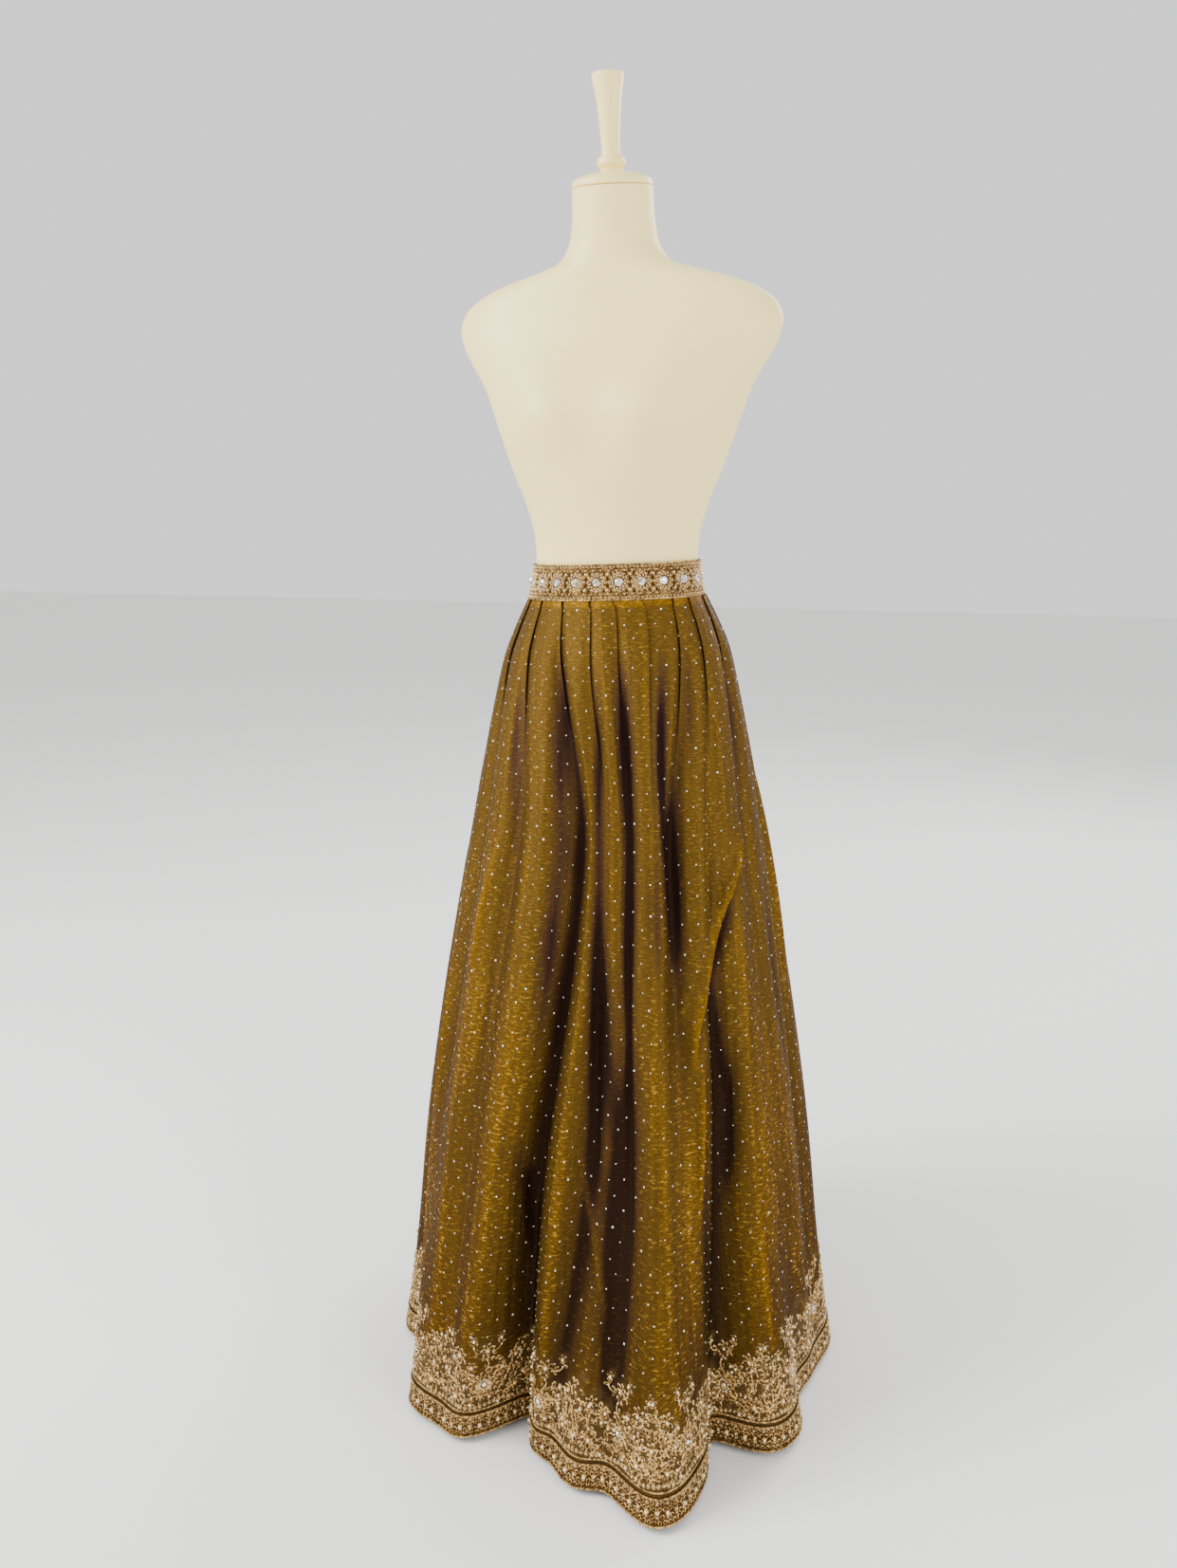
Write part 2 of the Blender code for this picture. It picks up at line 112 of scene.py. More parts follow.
# The dress form's level sections, from its underside up to the neck's top
FORM = table(
    ("height", "half_width", "front", "back", "lean"),
    (0.790, 0.1420, 0.1120, 0.1220, 0.000),
    (0.850, 0.1430, 0.1150, 0.1240, 0.000),
    (0.900, 0.1390, 0.1120, 0.1190, 0.000),
    (0.950, 0.1300, 0.1030, 0.1060, 0.000),
    (1.000, 0.1190, 0.0910, 0.0900, 0.000),
    (1.052, 0.1115, 0.0840, 0.0820, 0.000),
    (1.080, 0.1130, 0.0860, 0.0830, 0.000),
    (1.125, 0.1240, 0.0940, 0.0910, 0.000),
    (1.175, 0.1440, 0.1030, 0.1010, 0.000),
    (1.240, 0.1680, 0.1060, 0.1090, 0.000),
    (1.290, 0.1870, 0.0990, 0.1130, 0.000),
    (1.325, 0.2080, 0.0890, 0.1120, 0.001),
    (1.350, 0.2210, 0.0810, 0.1080, 0.002),
    (1.375, 0.2270, 0.0740, 0.1010, 0.002),
    (1.395, 0.2210, 0.0690, 0.0930, 0.002),
    (1.413, 0.2020, 0.0650, 0.0850, 0.000),
    (1.430, 0.1660, 0.0620, 0.0770, -0.002),
    (1.443, 0.1200, 0.0600, 0.0700, -0.004),
    (1.455, 0.0830, 0.0580, 0.0640, -0.006),
    (1.470, 0.0680, 0.0555, 0.0590, -0.009),
    (1.490, 0.0595, 0.0535, 0.0550, -0.012),
    (1.528, 0.0555, 0.0530, 0.0530, -0.016),
    (1.556, 0.0550, 0.0530, 0.0530, -0.020),
)

# The cloth's outline below the band, without its folds
SKIRT = table(
    ("drop", "half_width", "front", "back"),
    (0.038, 0.1430, 0.1100, 0.1120),
    (0.073, 0.1570, 0.1270, 0.1320),
    (0.118, 0.1670, 0.1420, 0.1490),
    (0.188, 0.1800, 0.1610, 0.1710),
    (0.288, 0.1970, 0.1870, 0.1960),
    (0.408, 0.2170, 0.2150, 0.2220),
    (0.558, 0.2400, 0.2440, 0.2480),
    (0.708, 0.2580, 0.2680, 0.2700),
    (0.858, 0.2710, 0.2860, 0.2870),
    (1.008, 0.2880, 0.3020, 0.3020),
)

# A row for each pleat: where its fold line lies round the body at four levels, how deep
# the fold is at four levels, how far the hem swings out there (as a share of the
# outline), and the way that the pleat is laid (1 towards the wearer's left, else -1)
FOLDS = table(
    ("waist", "high", "low", "hem", "deep_top", "deep_high", "deep_low", "deep_hem", "swing", "lay"),
    (-24.0, 0.5, -9.0, -17.0, 0.009, 0.034, 0.046, 0.088, 0.97, 1),
    (-5.0, 10.5, 8.0, -3.0, 0.005, 0.021, 0.027, 0.037, 0.98, 1),
    (10.0, 20.5, 20.0, 13.5, 0.008, 0.017, 0.015, 0.028, 1.05, 1),
    (28.0, 29.0, 27.0, 25.5, 0.003, 0.006, 0.001, 0.000, 1.15, 1),
    (50.0, 38.5, 34.5, 37.0, 0.008, 0.026, 0.010, 0.026, 1.12, -1),
    (64.0, 54.0, 48.5, 46.0, 0.003, 0.010, 0.038, 0.062, 1.05, -1),
    (84.0, 73.0, 67.0, 76.0, 0.006, 0.008, 0.003, 0.030, 1.03, -1),
    (103.0, 96.0, 88.0, 88.0, 0.004, 0.012, 0.016, 0.012, 1.00, -1),
    (121.0, 117.0, 112.0, 108.0, 0.008, 0.020, 0.012, 0.006, 1.02, -1),
    (139.0, 134.0, 131.0, 130.0, 0.004, 0.016, 0.038, 0.078, 0.99, -1),
    (157.0, 153.0, 152.0, 150.0, 0.006, 0.014, 0.010, 0.008, 1.03, -1),
    (175.0, 176.0, 176.0, 175.0, 0.008, 0.026, 0.034, 0.052, 1.01, 1),
    (193.0, 198.0, 199.0, 196.0, 0.004, 0.010, 0.006, 0.004, 1.05, 1),
    (211.0, 217.0, 218.0, 219.0, 0.008, 0.024, 0.042, 0.084, 0.99, 1),
    (229.0, 235.0, 239.0, 238.0, 0.005, 0.012, 0.006, 0.010, 1.02, 1),
    (246.0, 253.0, 258.0, 261.0, 0.006, 0.018, 0.030, 0.060, 1.00, 1),
    (263.0, 272.0, 277.0, 279.0, 0.004, 0.008, 0.004, 0.002, 1.01, 1),
    (281.0, 291.0, 297.0, 300.0, 0.008, 0.022, 0.036, 0.074, 0.99, 1),
    (299.0, 311.0, 314.0, 316.0, 0.004, 0.010, 0.008, 0.006, 1.04, 1),
    (317.0, 334.0, 330.0, 326.0, 0.006, 0.014, 0.012, 0.016, 1.02, 1),
)

# The shares of the drop at which that table gives lines and depths, and a fold's width
FOLD_LEVELS = (0.0, 0.30, 0.68, 1.0)
DEEP_LEVELS = (0.0, 0.12, 0.35, 0.68, 1.0)
FOLD_HALF_WIDTH = table(
    ("share", "metres"), (0.0, 0.007), (0.12, 0.010), (0.35, 0.017), (0.68, 0.025), (1.0, 0.040)
)
FOLD_COUNT = len(FOLDS["waist"])
FOLD_STEPS = 24
STEPS_AT_WAIST = np.array([0.0, 0.10, 0.28, 0.48, 0.68, 0.86, 0.975, 1.0])

# The levels of the cloth's grid: from one share of the drop to the next in so many rows
CLOTH_ROWS = ((1.0, 0.84, 22), (0.84, 0.30, 50), (0.30, 0.05, 34), (0.05, 0.0, 10))

# The laps of the pleats: the part of a pleat that its step takes, how far it reaches over
# the next and is tucked under, and the shares of the drop by which these come and go
PLEAT_RUN = 0.85
PLEAT_STEP_GROWN_AT = 0.08
PLEAT_OVERHANG = 0.0026
PLEAT_TUCK = 0.0014
OVERHANG_REACH = 0.0022
TUCK_REACH = 0.0030
OVERHANG_FULL_AT = 0.012
OVERHANG_ENDS_AT = 0.17

# What the silk's painted light and shade are worked out from: how wide and how deep a fold has to be for
# its full painted shade, and how high a crease's ridge has to be for its full painted highlight
SLIT_WIDTH = 0.0026
DARK_DEPTH = 0.028
DARK_SPREAD = 0.66
CREASE_DARK = 0.0072
RIDGE_LIT = 0.0090
RIDGE_CLEARS = 0.7
TOP_EDGE = 0.0068

# How far apart two neighbouring folds lie in the silk's pattern
FOLDS_APART_IN_PATTERN = 0.173

# Creases that lie across or between the pleats: where each starts and ends round the
# body and down the cloth, how wide it is, and how far it stands out (in, if negative)
CREASES = table(
    ("angle", "share", "end_angle", "end_share", "width", "rise"),
    (-18.0, 0.030, -2.0, 0.360, 0.0120, -0.0060),
    (-6.0, 0.250, -9.0, 0.560, 0.0130, -0.0060),
    (5.5, 0.035, 8.5, 0.420, 0.0055, -0.0040),
    (15.5, 0.035, 21.0, 0.330, 0.0105, -0.0065),
    (21.0, 0.250, 19.5, 0.520, 0.0080, -0.0050),
    (36.5, 0.035, 32.5, 0.260, 0.0095, -0.0065),
    (33.5, 0.180, 38.0, 0.450, 0.0140, -0.0060),
    (51.5, 0.030, 46.0, 0.240, 0.0070, -0.0045),
    (84.0, 0.040, 76.0, 0.300, 0.0090, -0.0050),
    (8.0, 0.340, 11.0, 0.700, 0.0080, -0.0060),
    (12.5, 0.400, 14.5, 0.640, 0.0130, -0.0050),
    (20.0, 0.380, 20.4, 0.760, 0.0045, -0.0045),
    (26.0, 0.280, 30.5, 0.480, 0.0150, -0.0030),
    (44.5, 0.400, 52.0, 0.620, 0.0120, -0.0065),
    (69.0, 0.290, 56.0, 0.376, 0.0070, 0.0100),
    (59.0, 0.350, 45.0, 0.456, 0.0068, 0.0110),
    (47.5, 0.425, 38.6, 0.522, 0.0062, 0.0115),
    (66.0, 0.320, 46.0, 0.480, 0.0100, -0.0070),
    (40.5, 0.495, 38.0, 0.560, 0.0060, 0.0065),
    (38.8, 0.465, 36.2, 0.505, 0.0050, 0.0040),
    (41.8, 0.540, 38.4, 0.720, 0.0045, 0.0060),
    (5.8, 0.650, 15.2, 0.840, 0.0045, 0.0040),
    (18.5, 0.500, 13.8, 0.960, 0.0220, -0.0085),
    (40.5, 0.600, 41.5, 0.920, 0.0140, -0.0060),
    (54.6, 0.520, 51.6, 0.740, 0.0080, -0.0070),
    (56.5, 0.760, 58.0, 0.900, 0.0120, 0.0040),
    (12.0, 0.180, 14.0, 0.420, 0.0050, 0.0030),
    (33.0, 0.120, 33.5, 0.330, 0.0050, -0.0040),
    (62.0, 0.100, 60.0, 0.300, 0.0060, 0.0030),
    (82.0, 0.330, 77.0, 0.620, 0.0090, -0.0050),
    (104.0, 0.250, 96.0, 0.520, 0.0100, 0.0060),
    (121.0, 0.040, 116.5, 0.340, 0.0100, -0.0060),
    (157.5, 0.035, 152.5, 0.300, 0.0080, -0.0050),
    (175.0, 0.050, 176.5, 0.380, 0.0110, -0.0060),
    (211.0, 0.035, 218.0, 0.350, 0.0100, -0.0060),
    (246.0, 0.040, 254.0, 0.290, 0.0085, -0.0050),
    (281.0, 0.035, 292.0, 0.370, 0.0105, -0.0060),
    (317.0, 0.050, 333.0, 0.320, 0.0090, -0.0055),
    (126.0, 0.430, 119.0, 0.530, 0.0080, 0.0060),
    (143.0, 0.160, 139.0, 0.420, 0.0070, -0.0040),
    (166.0, 0.350, 170.0, 0.640, 0.0090, 0.0050),
    (186.0, 0.480, 190.0, 0.600, 0.0070, 0.0060),
    (205.0, 0.200, 207.0, 0.440, 0.0060, 0.0040),
    (226.0, 0.520, 231.0, 0.730, 0.0080, -0.0050),
    (244.0, 0.300, 249.0, 0.420, 0.0070, 0.0060),
    (268.0, 0.380, 262.0, 0.560, 0.0090, 0.0050),
    (288.0, 0.150, 283.0, 0.360, 0.0070, -0.0040),
    (306.0, 0.450, 309.0, 0.660, 0.0080, 0.0050),
    (325.0, 0.300, 321.0, 0.470, 0.0080, 0.0060),
    (344.0, 0.180, 350.0, 0.390, 0.0070, 0.0040),
    (345.0, 0.600, 349.0, 0.800, 0.0080, -0.0050),
)

# How soon a crease fades towards its ends
RIDGE_FADE = 0.7
TROUGH_FADE = 1.2

# The fold lines that each panel hangs between, counted round the body
PANELS = {
    "skirt_front_left": (1, 6),
    "skirt_back_left": (6, 11),
    "skirt_back_right": (11, 16),
    "skirt_front_right": (16, 21),
}

# One repeat of the hem's flowers, in millimetres along the hem and up from its edge
FLOWERS = table(
    ("along", "up", "radius", "petals", "rounds"),
    (58, 66, 15.0, 9, 2),
    (20, 50, 11.0, 8, 1),
    (97, 52, 11.0, 8, 1),
    (22, 98, 9.0, 7, 1),
    (60, 108, 9.5, 7, 1),
    (97, 92, 8.5, 7, 1),
    (39, 40, 7.0, 6, 1),
    (77, 38, 7.0, 6, 1),
    (0, 72, 7.5, 6, 1),
    (40, 88, 6.5, 6, 1),
    (79, 80, 6.5, 6, 1),
    (3, 116, 6.0, 5, 1),
    (78, 120, 5.5, 5, 1),
    (41, 122, 5.0, 5, 1),
)
STEMS = table(
    ("along", "up", "end_along", "end_up", "bend", "leaves"),
    (58, 50, 24, 32, 9, 4),
    (58, 50, 92, 32, -9, 4),
    (30, 58, 20, 88, -7, 4),
    (88, 58, 97, 83, 7, 4),
    (58, 82, 60, 98, 4, 2),
    (48, 76, 32, 84, -5, 3),
    (68, 76, 86, 78, 5, 3),
    (10, 82, 4, 108, 5, 4),
    (66, 106, 80, 114, 4, 2),
    (52, 106, 42, 116, -4, 2),
    (8, 44, -6, 62, -5, 3),
    (108, 46, 118, 62, 5, 3),
)

# A repeat's length in metres before it is fitted to the hem, and the points of a stem
FLOWER_REPEAT = 0.117
STEM_POINTS = 9

# How far the dark ground reaches round a flower, as a share of its radius
FLOWER_GROUND = 1.9

# How high the close needlework reaches, and its waves: how many to a repeat, how high
# each is and where it starts
WORKED_HEIGHT = 0.092
WORKED_WAVES = ((1, 0.013, 0.4), (3, 0.006, 1.0))

# The loops that fill the ground between the flowers
FILL_FOOT = 0.047
FILL_GAP = 0.0070
FILL_SCATTER = 0.0009
FILL_SIZES = (0.0048, 0.0066)
FILL_BEAD = 0.0036
FILL_BEAD_SHARE = 0.10

# The sequins: how far they stay off the hem, the band and the fold lines, how unevenly
# they lie, and the shares of the small, the usual and the large ones
SEQUIN_FOOT = 0.125
SEQUIN_TOP = 0.012
SEQUIN_SIDE = 0.003
SEQUIN_ROWS = 0.80
SEQUIN_SCATTER = 0.0012
SEQUIN_ROW_SCATTER = 0.12
SEQUIN_TILT = 0.16
SEQUIN_SIZES = (0.80, 1.0, 1.35)
SEQUIN_SHARES = (0.50, 0.42, 0.08)

# The rings along the flowers' foot: how many to a repeat, and how far above the hem's edge
SCALLOPS = 19
SCALLOP_UP = BORDER_HEIGHT + 0.0088
SCALLOP_PETAL_UP = BORDER_HEIGHT + 0.0150
SCALLOP_WAVE = 0.0016

# The border: the heights of its rows of rings above the hem's edge, the gap from ring to
# ring, how far the strip's face lies off the cloth, and for each cord its height, its
# radius and its own distance from the cloth
BORDER_ROWS = (0.0052, 0.0104, 0.0176, 0.0228)
BORDER_MIDDLE = 0.0140
BORDER_SPACING = 0.0058
BORDER_OFF_CLOTH = 0.0013
BORDER_CORDS = (
    (0.0012, 0.0015, 0.0016),
    (BORDER_HEIGHT - 0.0012, 0.0012, 0.0016),
    (BORDER_HEIGHT + 0.0044, 0.0011, 0.0004),
)

# The waistband's rows: how far in from each edge they lie, and the widths of their
# pieces (of the inner rings, as a share of the ring that a user sets)
BAND_LEVELS = 9
BAND_MIDDLE_ROW = BAND_LEVELS // 2
BAND_CORD_IN = 0.0010
BAND_CORD_RADIUS = 0.0011
BAND_OUTER_IN = 0.0038
BAND_OUTER_BEAD = 0.0018
BAND_INNER_IN = 0.0084
BAND_INNER_RING = 0.92
BAND_INNER_BEAD = 0.0020
BAND_BETWEEN_IN = 0.0134
BAND_BETWEEN_RING = 0.0072
BAND_BETWEEN_BEAD = 0.0036

# Round each of the waistband's stones: how far out and how wide the loops, the beads
# between them and the beads in them are, with the turn from loop to bead in radians
STONE_WIDTH = 0.0122
STONE_RING = 0.0150
LOOPS_ROUND_STONE = 12
LOOP_OUT, LOOP_WIDTH = 0.0111, 0.0063
BEAD_BETWEEN_OUT, BEAD_BETWEEN_WIDTH, BEAD_BETWEEN_TURN = 0.0084, 0.0022, 0.262
BEAD_IN_OUT, BEAD_IN_WIDTH = 0.0112, 0.0024


def smooth(xs, ys, at):
    """A curve through the points that never swings past them, read at the given places."""
    xs, ys, at = (np.asarray(values, float) for values in (xs, ys, at))
    gaps = np.diff(xs)
    slopes = np.diff(ys) / gaps
    tangents = np.concatenate([[slopes[0]], np.zeros(len(xs) - 2), [slopes[-1]]])
    same_way = slopes[:-1] * slopes[1:] > 0
    products = slopes[:-1] * slopes[1:]
    sums = np.where(same_way, slopes[:-1] + slopes[1:], 1.0)
    tangents[1:-1] = np.where(same_way, 2 * products / sums, 0.0)
    i = np.clip(np.searchsorted(xs, at) - 1, 0, len(gaps) - 1)
    u = np.clip((at - xs[i]) / gaps[i], 0, 1)
    rise = u * u * (3 - 2 * u)
    start = u * (1 - u) ** 2 * gaps[i] * tangents[i]
    end = u * u * (u - 1) * gaps[i] * tangents[i + 1]
    return ys[i] + rise * (ys[i + 1] - ys[i]) + start + end


def ease(value, top):
    """0 at nothing, 1 from top on, and level at both ends."""
    u = np.clip(value / top, 0, 1)
    return u * u * (3 - 2 * u)


def bell(value):
    """1 at nothing, fading smoothly to 0 on both sides."""
    return np.exp(-np.square(value))


def oval(angles, half_width, front, back):
    """Points round a level section, with its front and its back of different depths."""
    turn = np.radians(angles)
    depth = np.where(np.cos(turn) > 0, front, back)
    return np.stack([half_width * np.sin(turn), -depth * np.cos(turn)], axis=-1)


def form_section(height, angles, outset=0.0):
    """Points round the dress form at one height, moved out by outset."""
    half_width, front, back, lean = (
        smooth(FORM["height"], FORM[name], height) for name in ("half_width", "front", "back", "lean")
    )
    ring = oval(angles, half_width + outset, front + outset, back + outset)
    ring[:, 1] += lean
    facing = np.clip(-ring[:, 1] / front, 0, 1)
    for side in (-1, 1):
        away = (ring[:, 0] - side * BUST_APART) ** 2 + (height - BUST_HEIGHT) ** 2
        ring[:, 1] -= BUST_RISE * facing * np.exp(-away / BUST_SPREAD**2)
    return ring


def unit(vectors):
    """The same vectors at length one."""
    return vectors / np.linalg.norm(vectors, axis=-1, keepdims=True)


class Surface:
    """A grid of points, rows from the bottom up and columns towards the wearer's left."""

    def __init__(self, points, closed):
        self.points = points
        body = points[:, :-1] if closed else points
        if closed:
            along = np.roll(body, -1, axis=1) - np.roll(body, 1, axis=1)
            along = np.concatenate([along, along[:, :1]], axis=1)
        else:
            along = np.gradient(body, axis=1)
        up = np.gradient(points, axis=0)
        self.normals = unit(np.cross(along, up))
        steps = np.linalg.norm(np.diff(points, axis=1), axis=2)
        self.arc = np.concatenate([np.zeros((len(points), 1)), np.cumsum(steps, axis=1)], axis=1)

    def read(self, values, row, column):
        """A grid's values between its points."""
        rows, columns = values.shape[:2]
        i = np.clip(np.floor(row).astype(int), 0, rows - 2)
        j = np.clip(np.floor(column).astype(int), 0, columns - 2)
        shape = np.shape(row) + (1,) * (values.ndim - 2)
        v, u = (row - i).reshape(shape), (column - j).reshape(shape)
        low = values[i, j] * (1 - u) + values[i, j + 1] * u
        high = values[i + 1, j] * (1 - u) + values[i + 1, j + 1] * u
        return low * (1 - v) + high * v

    def column_at(self, along, row=0):
        """The column at a distance along one of a closed grid's rows."""
        arc = self.arc[row]
        return np.interp(np.asarray(along) % arc[-1], arc, np.arange(len(arc)))

    def frames(self, row, column, turn=0.0, lift=0.0):
        """Origins and right, up and out directions at places on the surface."""
        out = unit(self.read(self.normals, row, column))
        here = self.read(self.points, row, column)
        right = unit(np.cross((0.0, 0.0, 1.0), out))
        up = np.cross(out, right)
        turn = np.broadcast_to(turn, np.shape(row))[:, None]
        turned = right * np.cos(turn) + up * np.sin(turn)
        return here + out * np.reshape(lift, (-1, 1)), turned, np.cross(out, turned), out


class Cloth(Surface):
    """The skirt's pleated cloth, with how deep its folds lie kept beside its points as painted shade, and
    its ridges as painted highlight.
    """

    def __init__(self):
        parts = [np.linspace(high, low, count, endpoint=low == 0.0) for high, low, count in CLOTH_ROWS]
        self.shares = np.concatenate(parts)
        rows = [self.ring(share) for share in self.shares]
        points = []
        for (ring, _, _), share in zip(rows, self.shares):
            height = CLOTH_TOP - share * CLOTH_LENGTH + (1 - share) * BAND_SLOPE * ring[:, 0]
            points.append(np.column_stack([ring, height]))
        points = np.array(points)
        points = np.concatenate([points, points[:, :1]], axis=1)
        self.fold_shade = np.array([np.append(fold_shade, fold_shade[0]) for _, fold_shade, _ in rows])
        self.ridge = np.array([np.append(ridge, ridge[0]) for _, _, ridge in rows])
        super().__init__(points, True)

    def ring(self, share):
        """Outer points round the cloth, the painted shade that each gets from lying deep in a fold and
        the painted highlight from standing high on a ridge.
        """
        columns = np.stack([FOLDS[name] for name in ("waist", "high", "low", "hem")])
        lines = np.array([smooth(FOLD_LEVELS, columns[:, i], share) for i in range(FOLD_COUNT)])
        names = ("deep_top", "deep_high", "deep_low", "deep_hem")
        columns = np.stack([np.zeros(FOLD_COUNT)] + [FOLDS[name] for name in names])
        depths = np.array([smooth(DEEP_LEVELS, columns[:, i], share) for i in range(FOLD_COUNT)])
        ends = np.append(lines[1:], lines[0] + 360)
        even = np.arange(FOLD_STEPS) / FOLD_STEPS
        gathered = smooth(np.arange(8) / 7, STEPS_AT_WAIST, even)
        steps = gathered + ease(share, PLEAT_ENDS_AT) * (even - gathered)
        angles = (lines[:, None] + steps[None, :] * (ends - lines)[:, None]).ravel()
        names = ("half_width", "front", "back")
        seam = [float(smooth(FORM["height"], FORM[name], CLOTH_TOP)) + CLOTH_OFF_FORM for name in names]
        drops = np.concatenate([[0.0], SKIRT["drop"]])
        sizes = [
            smooth(drops, np.concatenate([[at_seam], SKIRT[name]]), share * CLOTH_LENGTH)
            for at_seam, name in zip(seam, names)
        ]
        grown = ease(share, PLEAT_STEP_GROWN_AT)
        full = PLEAT_STEP_TOP + grown * (PLEAT_STEP_FULL - PLEAT_STEP_TOP)
        left = 1 - ease(share, PLEAT_ENDS_AT)
        radius = np.linalg.norm(oval(angles, *sizes), axis=1)
        to_left = (FOLDS["lay"] > 0)[:, None]
        to_right = (np.roll(FOLDS["lay"], -1) < 0)[:, None]
        spacing = np.radians(ends - lines)[:, None] * radius.reshape(FOLD_COUNT, -1)
        from_start = steps * spacing
        from_end = (1 - steps) * spacing
        slide = np.where(to_right, PLEAT_TUCK * bell(from_end / TUCK_REACH), 0.0)
        slide += np.where(~to_right, PLEAT_OVERHANG * bell(from_end / OVERHANG_REACH), 0.0)
        slide -= np.where(to_left, PLEAT_TUCK * bell(from_start / TUCK_REACH), 0.0)
        slide -= np.where(~to_left, PLEAT_OVERHANG * bell(from_start / OVERHANG_REACH), 0.0)
        shown = ease(share, OVERHANG_FULL_AT) * (1 - ease(share, OVERHANG_ENDS_AT))
        angles = angles + np.degrees(shown * slide.ravel() / radius)
        ring = oval(angles, *sizes)
        around = np.append(np.concatenate([[lines[-1] - 360], lines]), lines[0] + 360)
        swing = np.concatenate([[FOLDS["swing"][-1]], FOLDS["swing"], [FOLDS["swing"][0]]])
        ring *= (1 + (smooth(around, swing, angles) - 1) * share**2)[:, None]
        radius = np.linalg.norm(ring, axis=1)
        half_width = smooth(FOLD_HALF_WIDTH["share"], FOLD_HALF_WIDTH["metres"], share)
        inward = np.zeros(len(angles))
        fold_shade = np.zeros(len(angles))
        for line, depth in zip(lines, depths):
            apart = np.radians((angles - line + 180) % 360 - 180) * radius
            inward += depth * bell(apart / half_width)
            # Painted shade down each deep fold
            fold_shade += min(1.0, depth / DARK_DEPTH) * bell(apart / (DARK_SPREAD * half_width))
        after = np.maximum(0, 1 - steps / PLEAT_RUN)
        before = np.maximum(0, (steps - 1 + PLEAT_RUN) / PLEAT_RUN)
        inward += full * left * (to_left * after + to_right * before).ravel()
        # Painted shade: a dark slit along each pleat's fold line near the waist and in the creases'
        # troughs, cleared where a ridge gets its painted highlight
        slit = to_left * bell(from_start / SLIT_WIDTH) + to_right * bell(from_end / SLIT_WIDTH)
        lift = self.creases(share, angles, radius)
        fold_shade += left * slit.ravel() + np.maximum(0, -lift / CREASE_DARK)
        ridge = np.maximum(0, lift / RIDGE_LIT)
        fold_shade = np.clip(fold_shade - RIDGE_CLEARS * ridge, 0, 1)
        return ring * (1 - (inward - lift) / radius)[:, None], fold_shade, ridge

    def creases(self, share, angles, radius):
        """How far the small creases lift the cloth at this level."""
        lift = np.zeros(len(angles))
        for angle, start, end_angle, end, width, rise in zip(*CREASES.values()):
            along = (share - start) / (end - start)
            if not 0 < along < 1:
                continue
            fade = math.sin(math.pi * along) ** (RIDGE_FADE if rise > 0 else TROUGH_FADE)
            centre = angle + (end_angle - angle) * along
            apart = np.radians((angles - centre + 180) % 360 - 180) * radius
            lift += rise * fade * bell(apart / width)
        return lift

    def row_at(self, height):
        """The row of the grid at a height above the hem's edge."""
        share = 1 - np.asarray(height) / CLOTH_LENGTH
        return np.interp(-share, -self.shares, np.arange(len(self.shares)))


def band_surface():
    """The waistband's outer side, its lap included."""
    angles = np.linspace(-180, 180, 361)
    heights = np.linspace(BAND_BOTTOM, BAND_TOP, BAND_LEVELS)
    on_lap = (angles % 360 > LAP_FROM - 0.5) & (angles % 360 < LAP_TO + 0.5)
    rows = []
    for middle in heights:
        height = middle + BAND_SLOPE * form_section(middle, angles, FORM_GAP + BAND_WALL)[:, 0]
        ring = form_section(height, angles, FORM_GAP + BAND_WALL)
        ring += unit(ring) * (on_lap * LAP_RISE)[:, None]
        rows.append(np.column_stack([ring, height]))
    return Surface(np.array(rows), True)


cloth = Cloth()
band = band_surface()
HEM_LENGTH = float(cloth.arc[0, -1])
REPEATS = round(HEM_LENGTH / FLOWER_REPEAT)


def worked_height(along):
    """How far above the hem's edge the close needlework reaches, in waves."""
    turn = np.asarray(along) / HEM_LENGTH * REPEATS * math.tau
    height = WORKED_HEIGHT
    for times, size, phase in WORKED_WAVES:
        height = height + size * np.cos(times * turn + phase)
    return height


def deselect():
    """Leaves nothing selected."""
    bpy.ops.object.select_all(action="DESELECT")


def pick(made):
    """Leaves one object selected and active."""
    deselect()
    made.select_set(True)
    bpy.context.view_layer.objects.active = made


def coat(made, material):
    """Gives an object a material and no other."""
    made.data.materials.clear()
    made.data.materials.append(material)


def grid(name, points, uv=None, values=None):
    """A sheet through rows of points, bottom row first, made from a grid primitive."""
    rows, columns = points.shape[:2]
    deselect()
    bpy.ops.mesh.primitive_grid_add(x_subdivisions=columns - 1, y_subdivisions=rows - 1, size=1)
    made = bpy.context.object
    made.name = made.data.name = name
    made.data.vertices.foreach_set("co", points.reshape(-1).astype(np.float32))
    for key, numbers in (values or {}).items():
        attribute = made.data.attributes.new(key, "FLOAT", "POINT")
        attribute.data.foreach_set("value", numbers.reshape(-1).astype(np.float32))
    if uv is not None:
        corners = np.empty(len(made.data.loops), int)
        made.data.loops.foreach_get("vertex_index", corners)
        row, column = np.divmod(corners.reshape(-1, 4), columns)
        first = column.min(axis=1, keepdims=True)
        start, width, height = uv
        across = start[row, first] + (column - first) * width[row, first]
        flat = np.stack([across, height[row, column]], axis=-1)
        made.data.uv_layers.active.data.foreach_set("uv", flat.reshape(-1).astype(np.float32))
    made.data.update()
    return made


def edit(made, *steps):
    """Runs mesh operators on all of an object in edit mode."""
    pick(made)
    bpy.ops.object.mode_set(mode="EDIT")
    bpy.ops.mesh.select_all(action="SELECT")
    for step, settings in steps:
        step(**settings)
    bpy.ops.object.mode_set(mode="OBJECT")


def modify(made, kind, **settings):
    """Adds a modifier and applies it."""
    pick(made)
    bpy.ops.object.modifier_add(type=kind)
    modifier = made.modifiers[-1]
    for key, setting in settings.items():
        setattr(modifier, key, setting)
    bpy.ops.object.modifier_apply(modifier=modifier.name)


def shade(made, angle):
    """Smooth shading, with edges over the angle left sharp."""
    pick(made)
    bpy.ops.object.shade_smooth_by_angle(angle=math.radians(angle))


